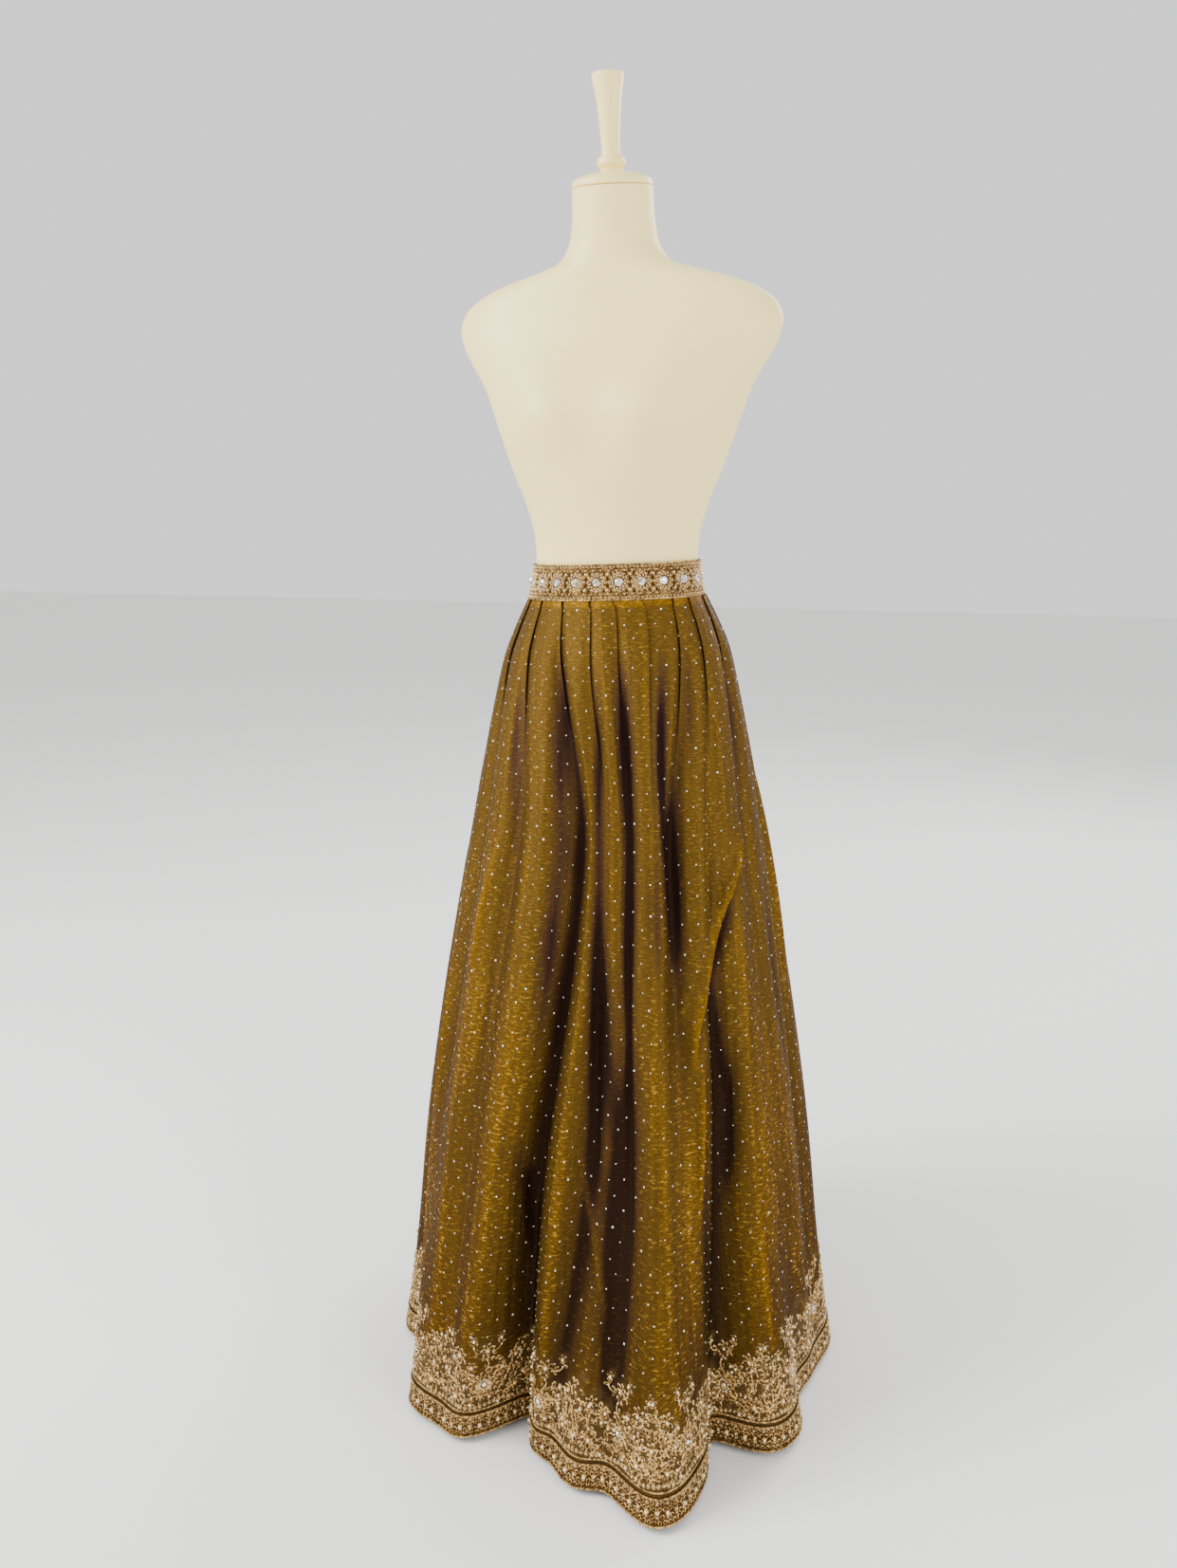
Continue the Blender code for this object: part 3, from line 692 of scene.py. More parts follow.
def dress(made, material, slot, *replaced):
    """Gives a piece its material and the body that it rides on, and hides the parts that it replaces; its
    slot is not used.
    """
    coat(made, material)
    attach(made, "root")
    if replaced:
        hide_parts(*replaced)


def taken(made):
    """A modelled unit's points and faces; the object itself is removed."""
    points = np.array([corner.co[:] for corner in made.data.vertices])
    faces = [tuple(face.vertices) for face in made.data.polygons]
    bpy.data.objects.remove(made)
    return points, faces


def thread_ring(segments, sides, thickness, stretch=1.0, pinch=0.0):
    """One loop of couched metal thread, 1 across; pinch draws its lower end to a point."""
    deselect()
    bpy.ops.mesh.primitive_torus_add(
        major_segments=segments,
        minor_segments=sides,
        major_radius=0.5 - thickness,
        minor_radius=thickness,
    )
    made = bpy.context.object
    made.scale = (1.0, stretch, 1.0)
    bpy.ops.object.transform_apply(location=False, rotation=False, scale=True)
    points, faces = taken(made)
    low = np.clip(0.5 - points[:, 1] / stretch, 0, 1)
    points[:, 0] *= 1 - pinch * low
    return points, faces


def primitive_unit(add, height, **settings):
    """A primitive's points and faces, with its middle at a height."""
    deselect()
    add(location=(0, 0, height), **settings)
    made = bpy.context.object
    bpy.ops.object.transform_apply(location=True, rotation=False, scale=False)
    return taken(made)


def pearl_unit():
    """A pearl, 1 across, sunk a little into what it lies on."""
    shape = {"segments": 8, "ring_count": 5, "radius": 0.5}
    return primitive_unit(bpy.ops.mesh.primitive_uv_sphere_add, 0.42, **shape)


def bead_unit():
    """A small bead, 1 across, sunk a little deeper."""
    return primitive_unit(bpy.ops.mesh.primitive_ico_sphere_add, 0.38, subdivisions=1, radius=0.5)


def sequin_unit():
    """A low faceted sequin, 1 across."""
    shape = {"vertices": 6, "radius1": 0.5, "radius2": 0.0, "depth": 0.26}
    return primitive_unit(bpy.ops.mesh.primitive_cone_add, 0.10, **shape)


def stone_unit(sides=8):
    """A cut stone, 1 across, with a flat table and two rounds of facets."""
    deselect()
    bpy.ops.mesh.primitive_circle_add(vertices=sides, radius=0.46, fill_type="NGON")
    made = bpy.context.object
    bpy.ops.object.mode_set(mode="EDIT")
    bpy.ops.mesh.select_all(action="SELECT")
    for rise, scale in ((0.10, 1.08), (0.13, 0.82), (0.07, 0.68)):
        bpy.ops.mesh.extrude_region_move(TRANSFORM_OT_translate={"value": (0, 0, rise)})
        bpy.ops.transform.resize(value=(scale, scale, 1))
    bpy.ops.mesh.select_all(action="SELECT")
    bpy.ops.mesh.normals_make_consistent(inside=False)
    bpy.ops.object.mode_set(mode="OBJECT")
    return taken(made)


class Pile:
    """Points and faces gathered for one joined mesh."""

    def __init__(self):
        self.points = []
        self.faces = []
        self.count = 0

    def add(self, points, faces):
        """Takes points and the faces between them."""
        self.points.append(points)
        self.faces.extend(tuple(self.count + corner for corner in face) for face in faces)
        self.count += len(points)

    def copies(self, piece, frames, sizes):
        """Sets a copy of a unit on each frame."""
        points, faces = piece
        origin, right, up, out = frames
        sizes = np.broadcast_to(np.asarray(sizes, float), (len(origin),))[:, None, None]
        axes = np.stack([right, up, out], axis=1)
        placed = origin[:, None] + sizes * np.einsum("pk,nkc->npc", points, axes)
        for each in placed:
            self.add(each, faces)

    def tube(self, path, outs, radius, sides, closed=False):
        """A cord along a path that lies on a surface."""
        step = np.roll(path, -1, axis=0) - np.roll(path, 1, axis=0)
        if not closed:
            step[0], step[-1] = path[1] - path[0], path[-1] - path[-2]
        across = unit(np.cross(unit(step), outs))
        turns = ((np.arange(sides) + 0.5) * 2 * math.pi / sides)[None, :, None]
        radius = np.broadcast_to(radius, (len(path),))[:, None, None]
        around = np.cos(turns) * outs[:, None] + np.sin(turns) * across[:, None]
        points = (path[:, None] + radius * around).reshape(-1, 3)
        count = len(path)
        faces = []
        for i in range(count if closed else count - 1):
            here, there = i * sides, (i + 1) % count * sides
            for j in range(sides):
                k = (j + 1) % sides
                faces.append((here + j, there + j, there + k, here + k))
        if not closed:
            faces.append(tuple(range(sides)))
            faces.append(tuple(reversed(range((count - 1) * sides, count * sides))))
        self.add(points, faces)

    def cord(self, surface, row, lift, radius, count, twist):
        """A twisted cord all the way round a closed surface, along one level of it."""
        columns = np.arange(count) / count * (surface.points.shape[1] - 1)
        origin, _, _, out = surface.frames(np.full(count, row), columns, 0.0, lift)
        self.tube(origin, out, radius * (1 + twist * np.where(np.arange(count) % 2, 1, -1)), 4, True)

    def make(self, name, angle):
        """The joined object."""
        mesh = bpy.data.meshes.new(name)
        mesh.from_pydata(np.concatenate(self.points), [], self.faces)
        made = bpy.data.objects.new(name, mesh)
        bpy.context.scene.collection.objects.link(made)
        edit(made, (bpy.ops.mesh.normals_make_consistent, {"inside": False}))
        shade(made, angle)
        return made


class Value:
    """A number that varies over a surface, on which arithmetic adds Math nodes."""

    def __init__(self, finish, socket):
        self.finish = finish
        self.socket = socket

    def _with(self, operation, first, second, clamp=False):
        settings = {"operation": operation, "use_clamp": clamp}
        node = self.finish.node("ShaderNodeMath", settings, {0: first, 1: second})
        return Value(self.finish, node.outputs[0])

    def __add__(self, other):
        return self._with("ADD", self, other)

    __radd__ = __add__

    def __mul__(self, other):
        return self._with("MULTIPLY", self, other)

    __rmul__ = __mul__

    def __sub__(self, other):
        return self._with("SUBTRACT", self, other)

    def __rsub__(self, other):
        return self._with("SUBTRACT", other, self)

    def clamped(self):
        """The same number kept between 0 and 1."""
        return self._with("MULTIPLY", self, 1.0, clamp=True)


class Finish:
    """A node material under construction."""

    def __init__(self, name, **constants):
        self.material = bpy.data.materials.new(name)
        self.material.use_nodes = True
        self.tree = self.material.node_tree
        self.shader = self.tree.nodes["Principled BSDF"]
        for key, constant in constants.items():
            self.shader_input(key).default_value = constant

    def shader_input(self, key):
        """The shader's socket of this name."""
        return self.shader.inputs[key.replace("_", " ").title().replace("Ior", "IOR")]

    def node(self, kind, settings=None, sockets=None):
        """A node of a type, its settings first and then the values or links of its sockets."""
        made = self.tree.nodes.new(kind)
        for key, setting in (settings or {}).items():
            setattr(made, key, setting)
        for key, given in (sockets or {}).items():
            source = given.socket if isinstance(given, Value) else given
            if isinstance(source, bpy.types.NodeSocket):
                self.tree.links.new(source, made.inputs[key])
            else:
                made.inputs[key].default_value = source
        return made

    def attribute(self, name):
        """A number kept on the mesh."""
        made = self.node("ShaderNodeAttribute", {"attribute_name": name})
        return Value(self, made.outputs["Fac"])

    def coordinates(self, kind, scale=(1.0, 1.0, 1.0)):
        """Object or UV coordinates, scaled."""
        source = self.node("ShaderNodeTexCoord").outputs[kind]
        return self.node("ShaderNodeMapping", None, {"Vector": source, "Scale": scale}).outputs[0]

    def noise(self, vector, scale, detail, roughness=0.5):
        """Soft noise between 0 and 1."""
        sockets = {"Vector": vector, "Scale": scale, "Detail": detail, "Roughness": roughness}
        return Value(self, self.node("ShaderNodeTexNoise", None, sockets).outputs[0])

    def streaks(self, across, along, detail, roughness=0.5):
        """Soft noise on the cloth, so fine across it and so fine along it."""
        return self.noise(self.coordinates("UV", (across, along, 1.0)), 1.0, detail, roughness)

    def net(self, vector, scale, outside, inside):
        """1 on the threads of an uneven net, from inside on, and 0 from outside on."""
        sockets = {"Vector": vector, "Scale": scale}
        made = self.node("ShaderNodeTexVoronoi", {"feature": "DISTANCE_TO_EDGE"}, sockets)
        return self.between(Value(self, made.outputs[0]), outside, inside)

    def between(self, value, low, high, start=0.0, end=1.0):
        """The value stretched from low..high to start..end and kept there."""
        sockets = {"Value": value, "From Min": low, "From Max": high, "To Min": start, "To Max": end}
        return Value(self, self.node("ShaderNodeMapRange", None, sockets).outputs[0])

    def mix(self, factor, first, second):
        """Two colours mixed, on the node's sockets 6 and 7."""
        sockets = {0: factor, 6: first, 7: second}
        for key in (6, 7):
            if not isinstance(sockets[key], bpy.types.NodeSocket):
                sockets[key] = (*sockets[key], 1)
        return self.node("ShaderNodeMix", {"data_type": "RGBA"}, sockets).outputs[2]

    def bump(self, height, distance, strength, below=None):
        """A normal raised by a height between 0 and 1."""
        sockets = {"Height": height, "Distance": distance, "Strength": strength}
        if below is not None:
            sockets["Normal"] = below
        return self.node("ShaderNodeBump", None, sockets).outputs[0]

    def set(self, **links):
        """Links what varies over the surface, and gives the material back."""
        for key, source in links.items():
            given = source.socket if isinstance(source, Value) else source
            self.tree.links.new(given, self.shader_input(key))
        return self.material


def shot_silk(settings):
    """Metallic tissue silk: painted highlight in gold on the ridges, painted shade in bronze on the
    flanks and in purple-brown in the folds, with painted glints.
    """
    finish = Finish("shot_silk", specular_ior_level=0.12, specular_tint=(*settings.edge, 1))
    threads = finish.streaks(130.0, 900.0, 2.0, 0.6)
    crinkle = finish.streaks(115.0, 340.0, 3.0, 0.6)
    crumple = finish.streaks(270.0, 400.0, 3.0, 0.65)
    patches = finish.streaks(16.0, 5.0, 2.0)
    fine_folds = finish.streaks(85.0, 2.2, 2.0, 0.45)
    weave = finish.streaks(2600.0, 700.0, 0.0)
    names = ("fold_shade", "flank", "rise", "top", "ridge", "worked")
    fold_shade, flank, rise, top, ridge, worked = (finish.attribute(name) for name in names)
    # How far the silk is painted lit, from bronze to gold: painted shade on the flanks and in the folds,
    # painted light on the ridges, along the fine folds and on the crinkle; it also grows towards the hem,
    # just under the band and in random patches
    lit = 0.50 - 0.56 * rise - 0.55 * flank - 0.30 * fold_shade + 1.3 * (patches - 0.5)
    lit = lit + 1.7 * (fine_folds - 0.5) + 0.7 * (crinkle - 0.5)
    lit = (lit + top + 0.9 * ridge).clamped()
    # Painted shade in the folds, broken up along the fine folds and in patches
    dark = finish.between(fold_shade - 0.7 * (fine_folds - 0.5) + 0.45 * (patches - 0.5), 0.20, 1.00)
    colour = finish.mix(lit, settings.bronze, settings.gold)
    colour = finish.mix(finish.between(threads, 0.60, 0.36) * 0.55, colour, settings.shade)
    # Darker towards the hem
    colour = finish.mix(finish.between(rise, 0.62, 0.10) * 0.44, colour, settings.shade)
    # Painted shade in the folds: purple-brown high up, which is partly the shot silk's own turn of tone,
    # and the shade colour low down
    colour = finish.mix(dark, colour, finish.mix(rise, settings.shade, settings.purple))
    # Painted shade: the folds' deepest lines near black
    colour = finish.mix(finish.between(fold_shade, 0.72, 1.0) * 0.75, colour, settings.core)
    # Painted glints: the glint colour in fine streaks along the crinkle and in specks on the crumple,
    # stronger where the silk is painted lit and fading in the painted shade of the folds
    shine = finish.between(crinkle * (0.45 + 0.55 * threads) + 0.12 * (patches - 0.5), 0.42, 0.52)
    speck_glints = finish.between(crumple + 0.14 * (patches - 0.5), 0.56, 0.80) * (0.66 - 0.55 * rise)
    shine = shine * (0.22 + 0.48 * lit) * (1 - 0.30 * rise) + speck_glints * (0.20 + 0.80 * lit)
    colour = finish.mix((shine * (1 - 0.92 * dark)).clamped(), colour, settings.glint)
    mesh = finish.net(finish.coordinates("UV"), 560.0, 0.10, 0.02)
    colour = finish.mix(worked * 0.80, colour, settings.ground)
    colour = finish.mix(worked * mesh * 0.16, colour, settings.thread)
    roughness = finish.between(crinkle + 0.25 * weave, 0.35, 0.95, 0.40, 0.58)
    normal = finish.bump(fine_folds, 0.0040, 0.6)
    normal = finish.bump(crinkle + 0.5 * crumple, 0.0012, 0.7, normal)
    normal = finish.bump(weave + threads, 0.0003, 0.5, normal)
    normal = finish.bump(mesh * worked, 0.0006, 0.7, normal)
    metal = (0.80 - 0.46 * rise - 0.30 * dark) * (1 - 0.7 * worked)
    return finish.set(base_color=colour, roughness=roughness, metallic=metal, normal=normal)


def metal_thread(settings, name="metal_thread"):
    """Couched rose-gold thread, with the fine turns of its wire, painted shade in patches and painted
    glints on the turns.
    """
    finish = Finish(name, specular_ior_level=0.30)
    place = finish.coordinates("Object")
    turns = finish.noise(place, 2400.0, 1.0)
    patches = finish.noise(place, 60.0, 1.0)
    stitches = finish.noise(place, 330.0, 2.0)
    # Painted light and shade: the thread changes between its shaded and its lit colour in patches along
    # the stitches
    lit = finish.between(stitches + 0.5 * patches, 0.62, 0.86)
    colour = finish.mix(lit, settings.thread_dark, settings.thread)
    # Painted glints on the turns of the wire
    bright = finish.between(turns + 0.5 * stitches, 0.82, 0.98)
    colour = finish.mix(bright * 0.8, colour, settings.thread_light)
    roughness = finish.between(turns, 0.3, 0.7, 0.26, 0.46)
    normal = finish.bump(turns, 0.00018, 0.6)
    metal = 0.50 + 0.3 * patches
    return finish.set(base_color=colour, roughness=roughness, metallic=metal, normal=normal)


def pearl_finish(settings):
    """Warm white pearls."""
    sheen = {"coat_weight": 0.15, "coat_roughness": 0.10}
    finish = Finish("pearl", roughness=0.28, specular_ior_level=0.35, **sheen)
    tone = finish.noise(finish.coordinates("Object"), 90.0, 1.0)
    return finish.set(base_color=finish.mix(tone, settings.pearl_dark, settings.pearl))


def stone_finish(settings):
    """Bright foiled stones, each a little different from the next."""
    finish = Finish("cut_stone", roughness=0.10, metallic=0.85, coat_weight=0.25)
    place = finish.coordinates("Object")
    cells = finish.node("ShaderNodeTexVoronoi", {"feature": "F1"}, {"Vector": place, "Scale": 420.0})
    tone = finish.between(Value(finish, cells.outputs["Color"]), 0.30, 0.62)
    return finish.set(base_color=finish.mix(tone, settings.stone_dark, settings.stone))


def sequin_finish(settings):
    """Small silver sequins."""
    finish = Finish("sequin", roughness=0.18, metallic=0.15, coat_weight=0.6, coat_roughness=0.10)
    tone = finish.between(finish.noise(finish.coordinates("Object"), 120.0, 1.0), 0.35, 0.65)
    return finish.set(base_color=finish.mix(tone, settings.sequin_dark, settings.sequin))


def band_cloth(settings):
    """Brown silk with a fine net of thread, under the band's stones."""
    finish = Finish("band_cloth", specular_ior_level=0.10, specular_tint=(0.60, 0.36, 0.14, 1))
    weave = finish.noise(finish.coordinates("Object", (900.0, 900.0, 2400.0)), 1.0, 1.0)
    threads = finish.net(finish.coordinates("Object"), 900.0, 0.12, 0.03)
    colour = finish.mix(finish.between(weave, 0.3, 0.7), settings.ground_dark, settings.ground)
    colour = finish.mix(threads * 0.40, colour, settings.thread_dark)
    normal = finish.bump(weave, 0.0003, 0.6)
    normal = finish.bump(threads, 0.0004, 0.6, normal)
    rough = finish.between(weave, 0.2, 0.8, 0.42, 0.62)
    return finish.set(base_color=colour, roughness=rough, metallic=0.15 + 0.3 * threads, normal=normal)


def ivory_shell(settings, name, roughness):
    """Smooth ivory moulding with a faint unevenness."""
    finish = Finish(name, specular_ior_level=0.45, coat_weight=0.12, coat_roughness=0.35)
    place = finish.coordinates("Object")
    cloud = finish.noise(place, 6.0, 3.0)
    grain = finish.noise(place, 700.0, 2.0)
    colour = finish.mix(finish.between(cloud, 0.3, 0.7), settings.ivory_dark, settings.ivory)
    rough = finish.between(grain + cloud, 0.6, 1.4, roughness - 0.06, roughness + 0.06)
    normal = finish.bump(grain, 0.00015, 0.25)
    return finish.set(base_color=colour, roughness=rough, normal=normal)


def colour_property(name, value, description):
    """A colour that a user may change."""
    kind = {"subtype": "COLOR", "size": 3, "min": 0.0, "max": 1.0}
    return FloatVectorProperty(name=name, description=description, default=value, **kind)


def length_property(name, value, description):
    """A length in metres that a user may change."""
    return FloatProperty(name=name, description=description, unit="LENGTH", default=value)


def angle_property(name, degrees, description):
    """An angle that a user may change, kept in radians."""
    radians = math.radians(degrees)
    return FloatProperty(name=name, description=description, subtype="ANGLE", default=radians)


class SkirtSettings(bpy.types.PropertyGroup):
    """Sizes and colours of the skirt's cloth."""

    wall: length_property("Cloth", 0.0007, "Thickness of the silk")
    sequin_size: length_property("Sequin", 0.0020, "A sequin's width")
    sequin_gap: length_property("Spacing", 0.0215, "From sequin to sequin")
    seed: IntProperty(name="Seed", description="Start of the random draws", default=7)
    gold: colour_property("Gold", (0.200, 0.093, 0.002), "Lit faces of the silk")
    # Bronze, purple, shade and core also carry painted shade: bronze on the flanks and purple in the high
    # folds, both partly the shot silk's own tone; shade is the dark threads' own colour, the painted
    # shade of the low folds and the darkening towards the hem; core is painted shade in the folds'
    # deepest lines
    bronze: colour_property("Bronze", (0.100, 0.054, 0.008), "Flanks of the folds")
    shade: colour_property("Shade", (0.034, 0.016, 0.004), "Dark threads and the low folds")
    purple: colour_property("Purple", (0.024, 0.009, 0.012), "Depths of the high folds")
    core: colour_property("Core", (0.009, 0.004, 0.003), "The folds' darkest lines")
    # Glint is a painted highlight
    glint: colour_property("Glint", (0.72, 0.42, 0.050), "Light caught by the crinkle")
    edge: colour_property("Edge", (0.20, 0.13, 0.06), "Tint of the silk where it turns away")
    thread: colour_property("Thread", (0.42, 0.300, 0.180), "Thread worked into the hem")
    ground: colour_property("Ground", (0.056, 0.028, 0.004), "Dark silk between the flowers")
    sequin: colour_property("Sequin light", (0.96, 0.95, 0.92), "The brighter sequins")
    sequin_dark: colour_property("Sequin dark", (0.80, 0.72, 0.55), "The duller sequins")


class WorkSettings(bpy.types.PropertyGroup):
    """Sizes and colours of the worked band and hem."""

    ring: length_property("Ring", 0.0052, "Width of a small thread ring")
    medallions: IntProperty(name="Medallions", description="Stones round the band", default=22)
    thread: colour_property("Thread", (0.50, 0.290, 0.088), "Rose-gold thread")
    # Dark thread is painted shade on the couched thread and also the own colour of the band cloth's net;
    # bright thread is painted glints
    thread_dark: colour_property("Dark thread", (0.110, 0.052, 0.010), "Thread in shade")
    thread_light: colour_property("Bright thread", (0.98, 0.74, 0.36), "Glints on the thread")
    ground: colour_property("Ground", (0.062, 0.028, 0.005), "Cloth under the work")
    ground_dark: colour_property("Dark ground", (0.028, 0.012, 0.002), "Its darker threads")
    pearl: colour_property("Pearl", (0.92, 0.77, 0.48), "Pearls")
    pearl_dark: colour_property("Dark pearl", (0.64, 0.44, 0.20), "Their shaded tone")
    stone: colour_property("Stone", (0.93, 0.93, 0.90), "Cut stones")
    stone_dark: colour_property("Dark stone", (0.25, 0.19, 0.10), "The stones' darker facets")


class FormSettings(bpy.types.PropertyGroup):
    """Sizes and colours of the dress form."""

    around: IntProperty(name="Around", description="Faces round the form", default=112)
    ivory: colour_property("Ivory", (0.95, 0.78, 0.31), "The form's shell")
    ivory_dark: colour_property("Dark ivory", (0.93, 0.75, 0.28), "Its warmer patches")


class StageSettings(bpy.types.PropertyGroup):
    """The camera, the floor and the lights."""

    azimuth: angle_property("Azimuth", 16.0, "The camera's way round")
    distance: length_property("Distance", 1.6696, "Camera to axis")
    height: length_property("Height", 1.1261, "The camera's height")
    pitch: angle_property("Pitch", 0.46, "How far the camera looks down")
    focal: FloatProperty(name="Focal", description="Focal length in pixels of the frame", default=1290.46)
    shift: FloatProperty(name="Shift", description="How far the frame slides down", default=0.17)
    axis_at: FloatProperty(name="Axis", description="Pixels from the left to the pole", default=650.0)
    floor: colour_property("Floor", (0.86, 0.86, 0.85), "The floor")
    sky: FloatProperty(name="Sky", description="Strength of the light all round", default=1.2)
    key: FloatProperty(name="Key", description="Power of the main light", default=215.0)


def cloth_values():
    """The numbers that the silk's material reads at each point of the cloth."""
    normals = cloth.normals
    outward = unit(cloth.points * (1, 1, 0) + 1e-9)
    facing = np.clip((normals * outward).sum(axis=2), 0, 1)
    heights = (1 - cloth.shares)[:, None] * CLOTH_LENGTH + np.zeros_like(facing)
    top = np.where(cloth.shares < TOP_EDGE, 0.9, 0.0)[:, None] + np.zeros_like(facing)
    along = np.broadcast_to(cloth.arc[0], facing.shape)
    repeat = HEM_LENGTH / REPEATS
    worked = ease(worked_height(along) + 0.004 - heights, 0.012)
    for x, y, radius in zip(FLOWERS["along"], FLOWERS["up"], FLOWERS["radius"]):
        across = (along - x * MILLIMETRE * repeat / FLOWER_REPEAT + repeat / 2) % repeat - repeat / 2
        away = np.hypot(across, heights - y * MILLIMETRE) / (radius * MILLIMETRE * FLOWER_GROUND)
        worked = np.maximum(worked, 1 - ease(away, 1.0))
    return {
        # fold_shade and ridge carry the painted shade of the folds and the painted highlight of the
        # ridges, and flank the painted shade where the cloth turns away from facing out, partly the shot
        # silk's own turn of tone
        "fold_shade": cloth.fold_shade,
        "ridge": cloth.ridge,
        "flank": np.sqrt(1 - facing**2) ** 1.3,
        "rise": heights / CLOTH_LENGTH,
        "top": top,
        "worked": worked,
    }


def cloth_uv():
    """Cloth coordinates in metres that start afresh at each fold line."""
    width = np.diff(cloth.arc, axis=1)
    columns = np.arange(cloth.arc.shape[1])
    segment = np.minimum(columns // FOLD_STEPS, FOLD_COUNT - 1)
    start = cloth.arc[:, segment * FOLD_STEPS]
    end = cloth.arc[:, (segment + 1) * FOLD_STEPS]
    across = cloth.arc - (start + end) / 2 + segment[None, :] * FOLDS_APART_IN_PATTERN
    height = np.broadcast_to(((1 - cloth.shares) * CLOTH_LENGTH)[:, None], across.shape)
    return across, np.concatenate([width, width[:, :1]], axis=1), height


class LEHENGA_OT_cloth(bpy.types.Operator):
    """Makes the four panels of pleated silk"""

    bl_idname = "lehenga.cloth"
    bl_label = "Skirt cloth"

    def execute(self, context):
        settings = context.scene.lehenga_skirt
        material = shot_silk(settings)
        values = cloth_values()
        across, width, height = cloth_uv()
        count = FOLD_COUNT * FOLD_STEPS
        for node, (first, last) in PANELS.items():
            columns = np.arange(first * FOLD_STEPS, last * FOLD_STEPS + 1) % count
            panel_uv = [each[:, columns] for each in (across, width, height)]
            panel_values = {key: numbers[:, columns] for key, numbers in values.items()}
            panel = grid(node.replace("skirt", "silk"), cloth.points[:, columns], panel_uv, panel_values)
            modify(panel, "SOLIDIFY", thickness=settings.wall, offset=-1.0)
            shade(panel, 70)
            dress(panel, material, "cloth", node)
        return {"FINISHED"}


class LEHENGA_OT_sequins(bpy.types.Operator):
    """Scatters small sequins over the silk in staggered rows"""

    bl_idname = "lehenga.sequins"
    bl_label = "Sequins"

    def execute(self, context):
        settings = context.scene.lehenga_skirt
        gap = settings.sequin_gap
        draw = np.random.default_rng(settings.seed)
        rows, columns = [], []
        heights = np.arange(SEQUIN_FOOT, CLOTH_LENGTH - SEQUIN_TOP, gap * SEQUIN_ROWS)
        for level, height in enumerate(heights):
            row = float(cloth.row_at(height))
            arc = cloth.arc[int(round(row))]
            for fold in range(FOLD_COUNT):
                part = arc[fold * FOLD_STEPS : (fold + 1) * FOLD_STEPS + 1]
                middle = (part[0] + part[-1]) / 2
                reach = (part[-1] - part[0]) / 2 - SEQUIN_SIDE
                offset = (level % 2) * gap / 2
                first = math.ceil((-reach - offset) / gap)
                last = math.floor((reach - offset) / gap)
                places = middle + offset + np.arange(first, last + 1) * gap
                places += draw.normal(0, SEQUIN_SCATTER, len(places))
                at = np.interp(places, part, np.arange(len(part))) + fold * FOLD_STEPS
                columns.extend(at)
                rows.extend(row + draw.normal(0, SEQUIN_ROW_SCATTER, len(at)))
        rows, columns = np.clip(rows, 0, len(cloth.shares) - 1.01), np.array(columns)
        frames = cloth.frames(rows, columns, draw.uniform(0, math.tau, len(rows)), 0.0001)
        tilt = draw.normal(0, SEQUIN_TILT, (len(rows), 2))
        origin, right, up, out = frames
        out = unit(out + right * tilt[:, :1] + up * tilt[:, 1:])
        right = unit(np.cross(up, out))
        sizes = settings.sequin_size * draw.choice(SEQUIN_SIZES, len(rows), p=SEQUIN_SHARES)
        pile = Pile()
        pile.copies(sequin_unit(), (origin, right, np.cross(out, right), out), sizes)
        dress(pile.make("sequins", 10), sequin_finish(settings), "embroidery")
        return {"FINISHED"}


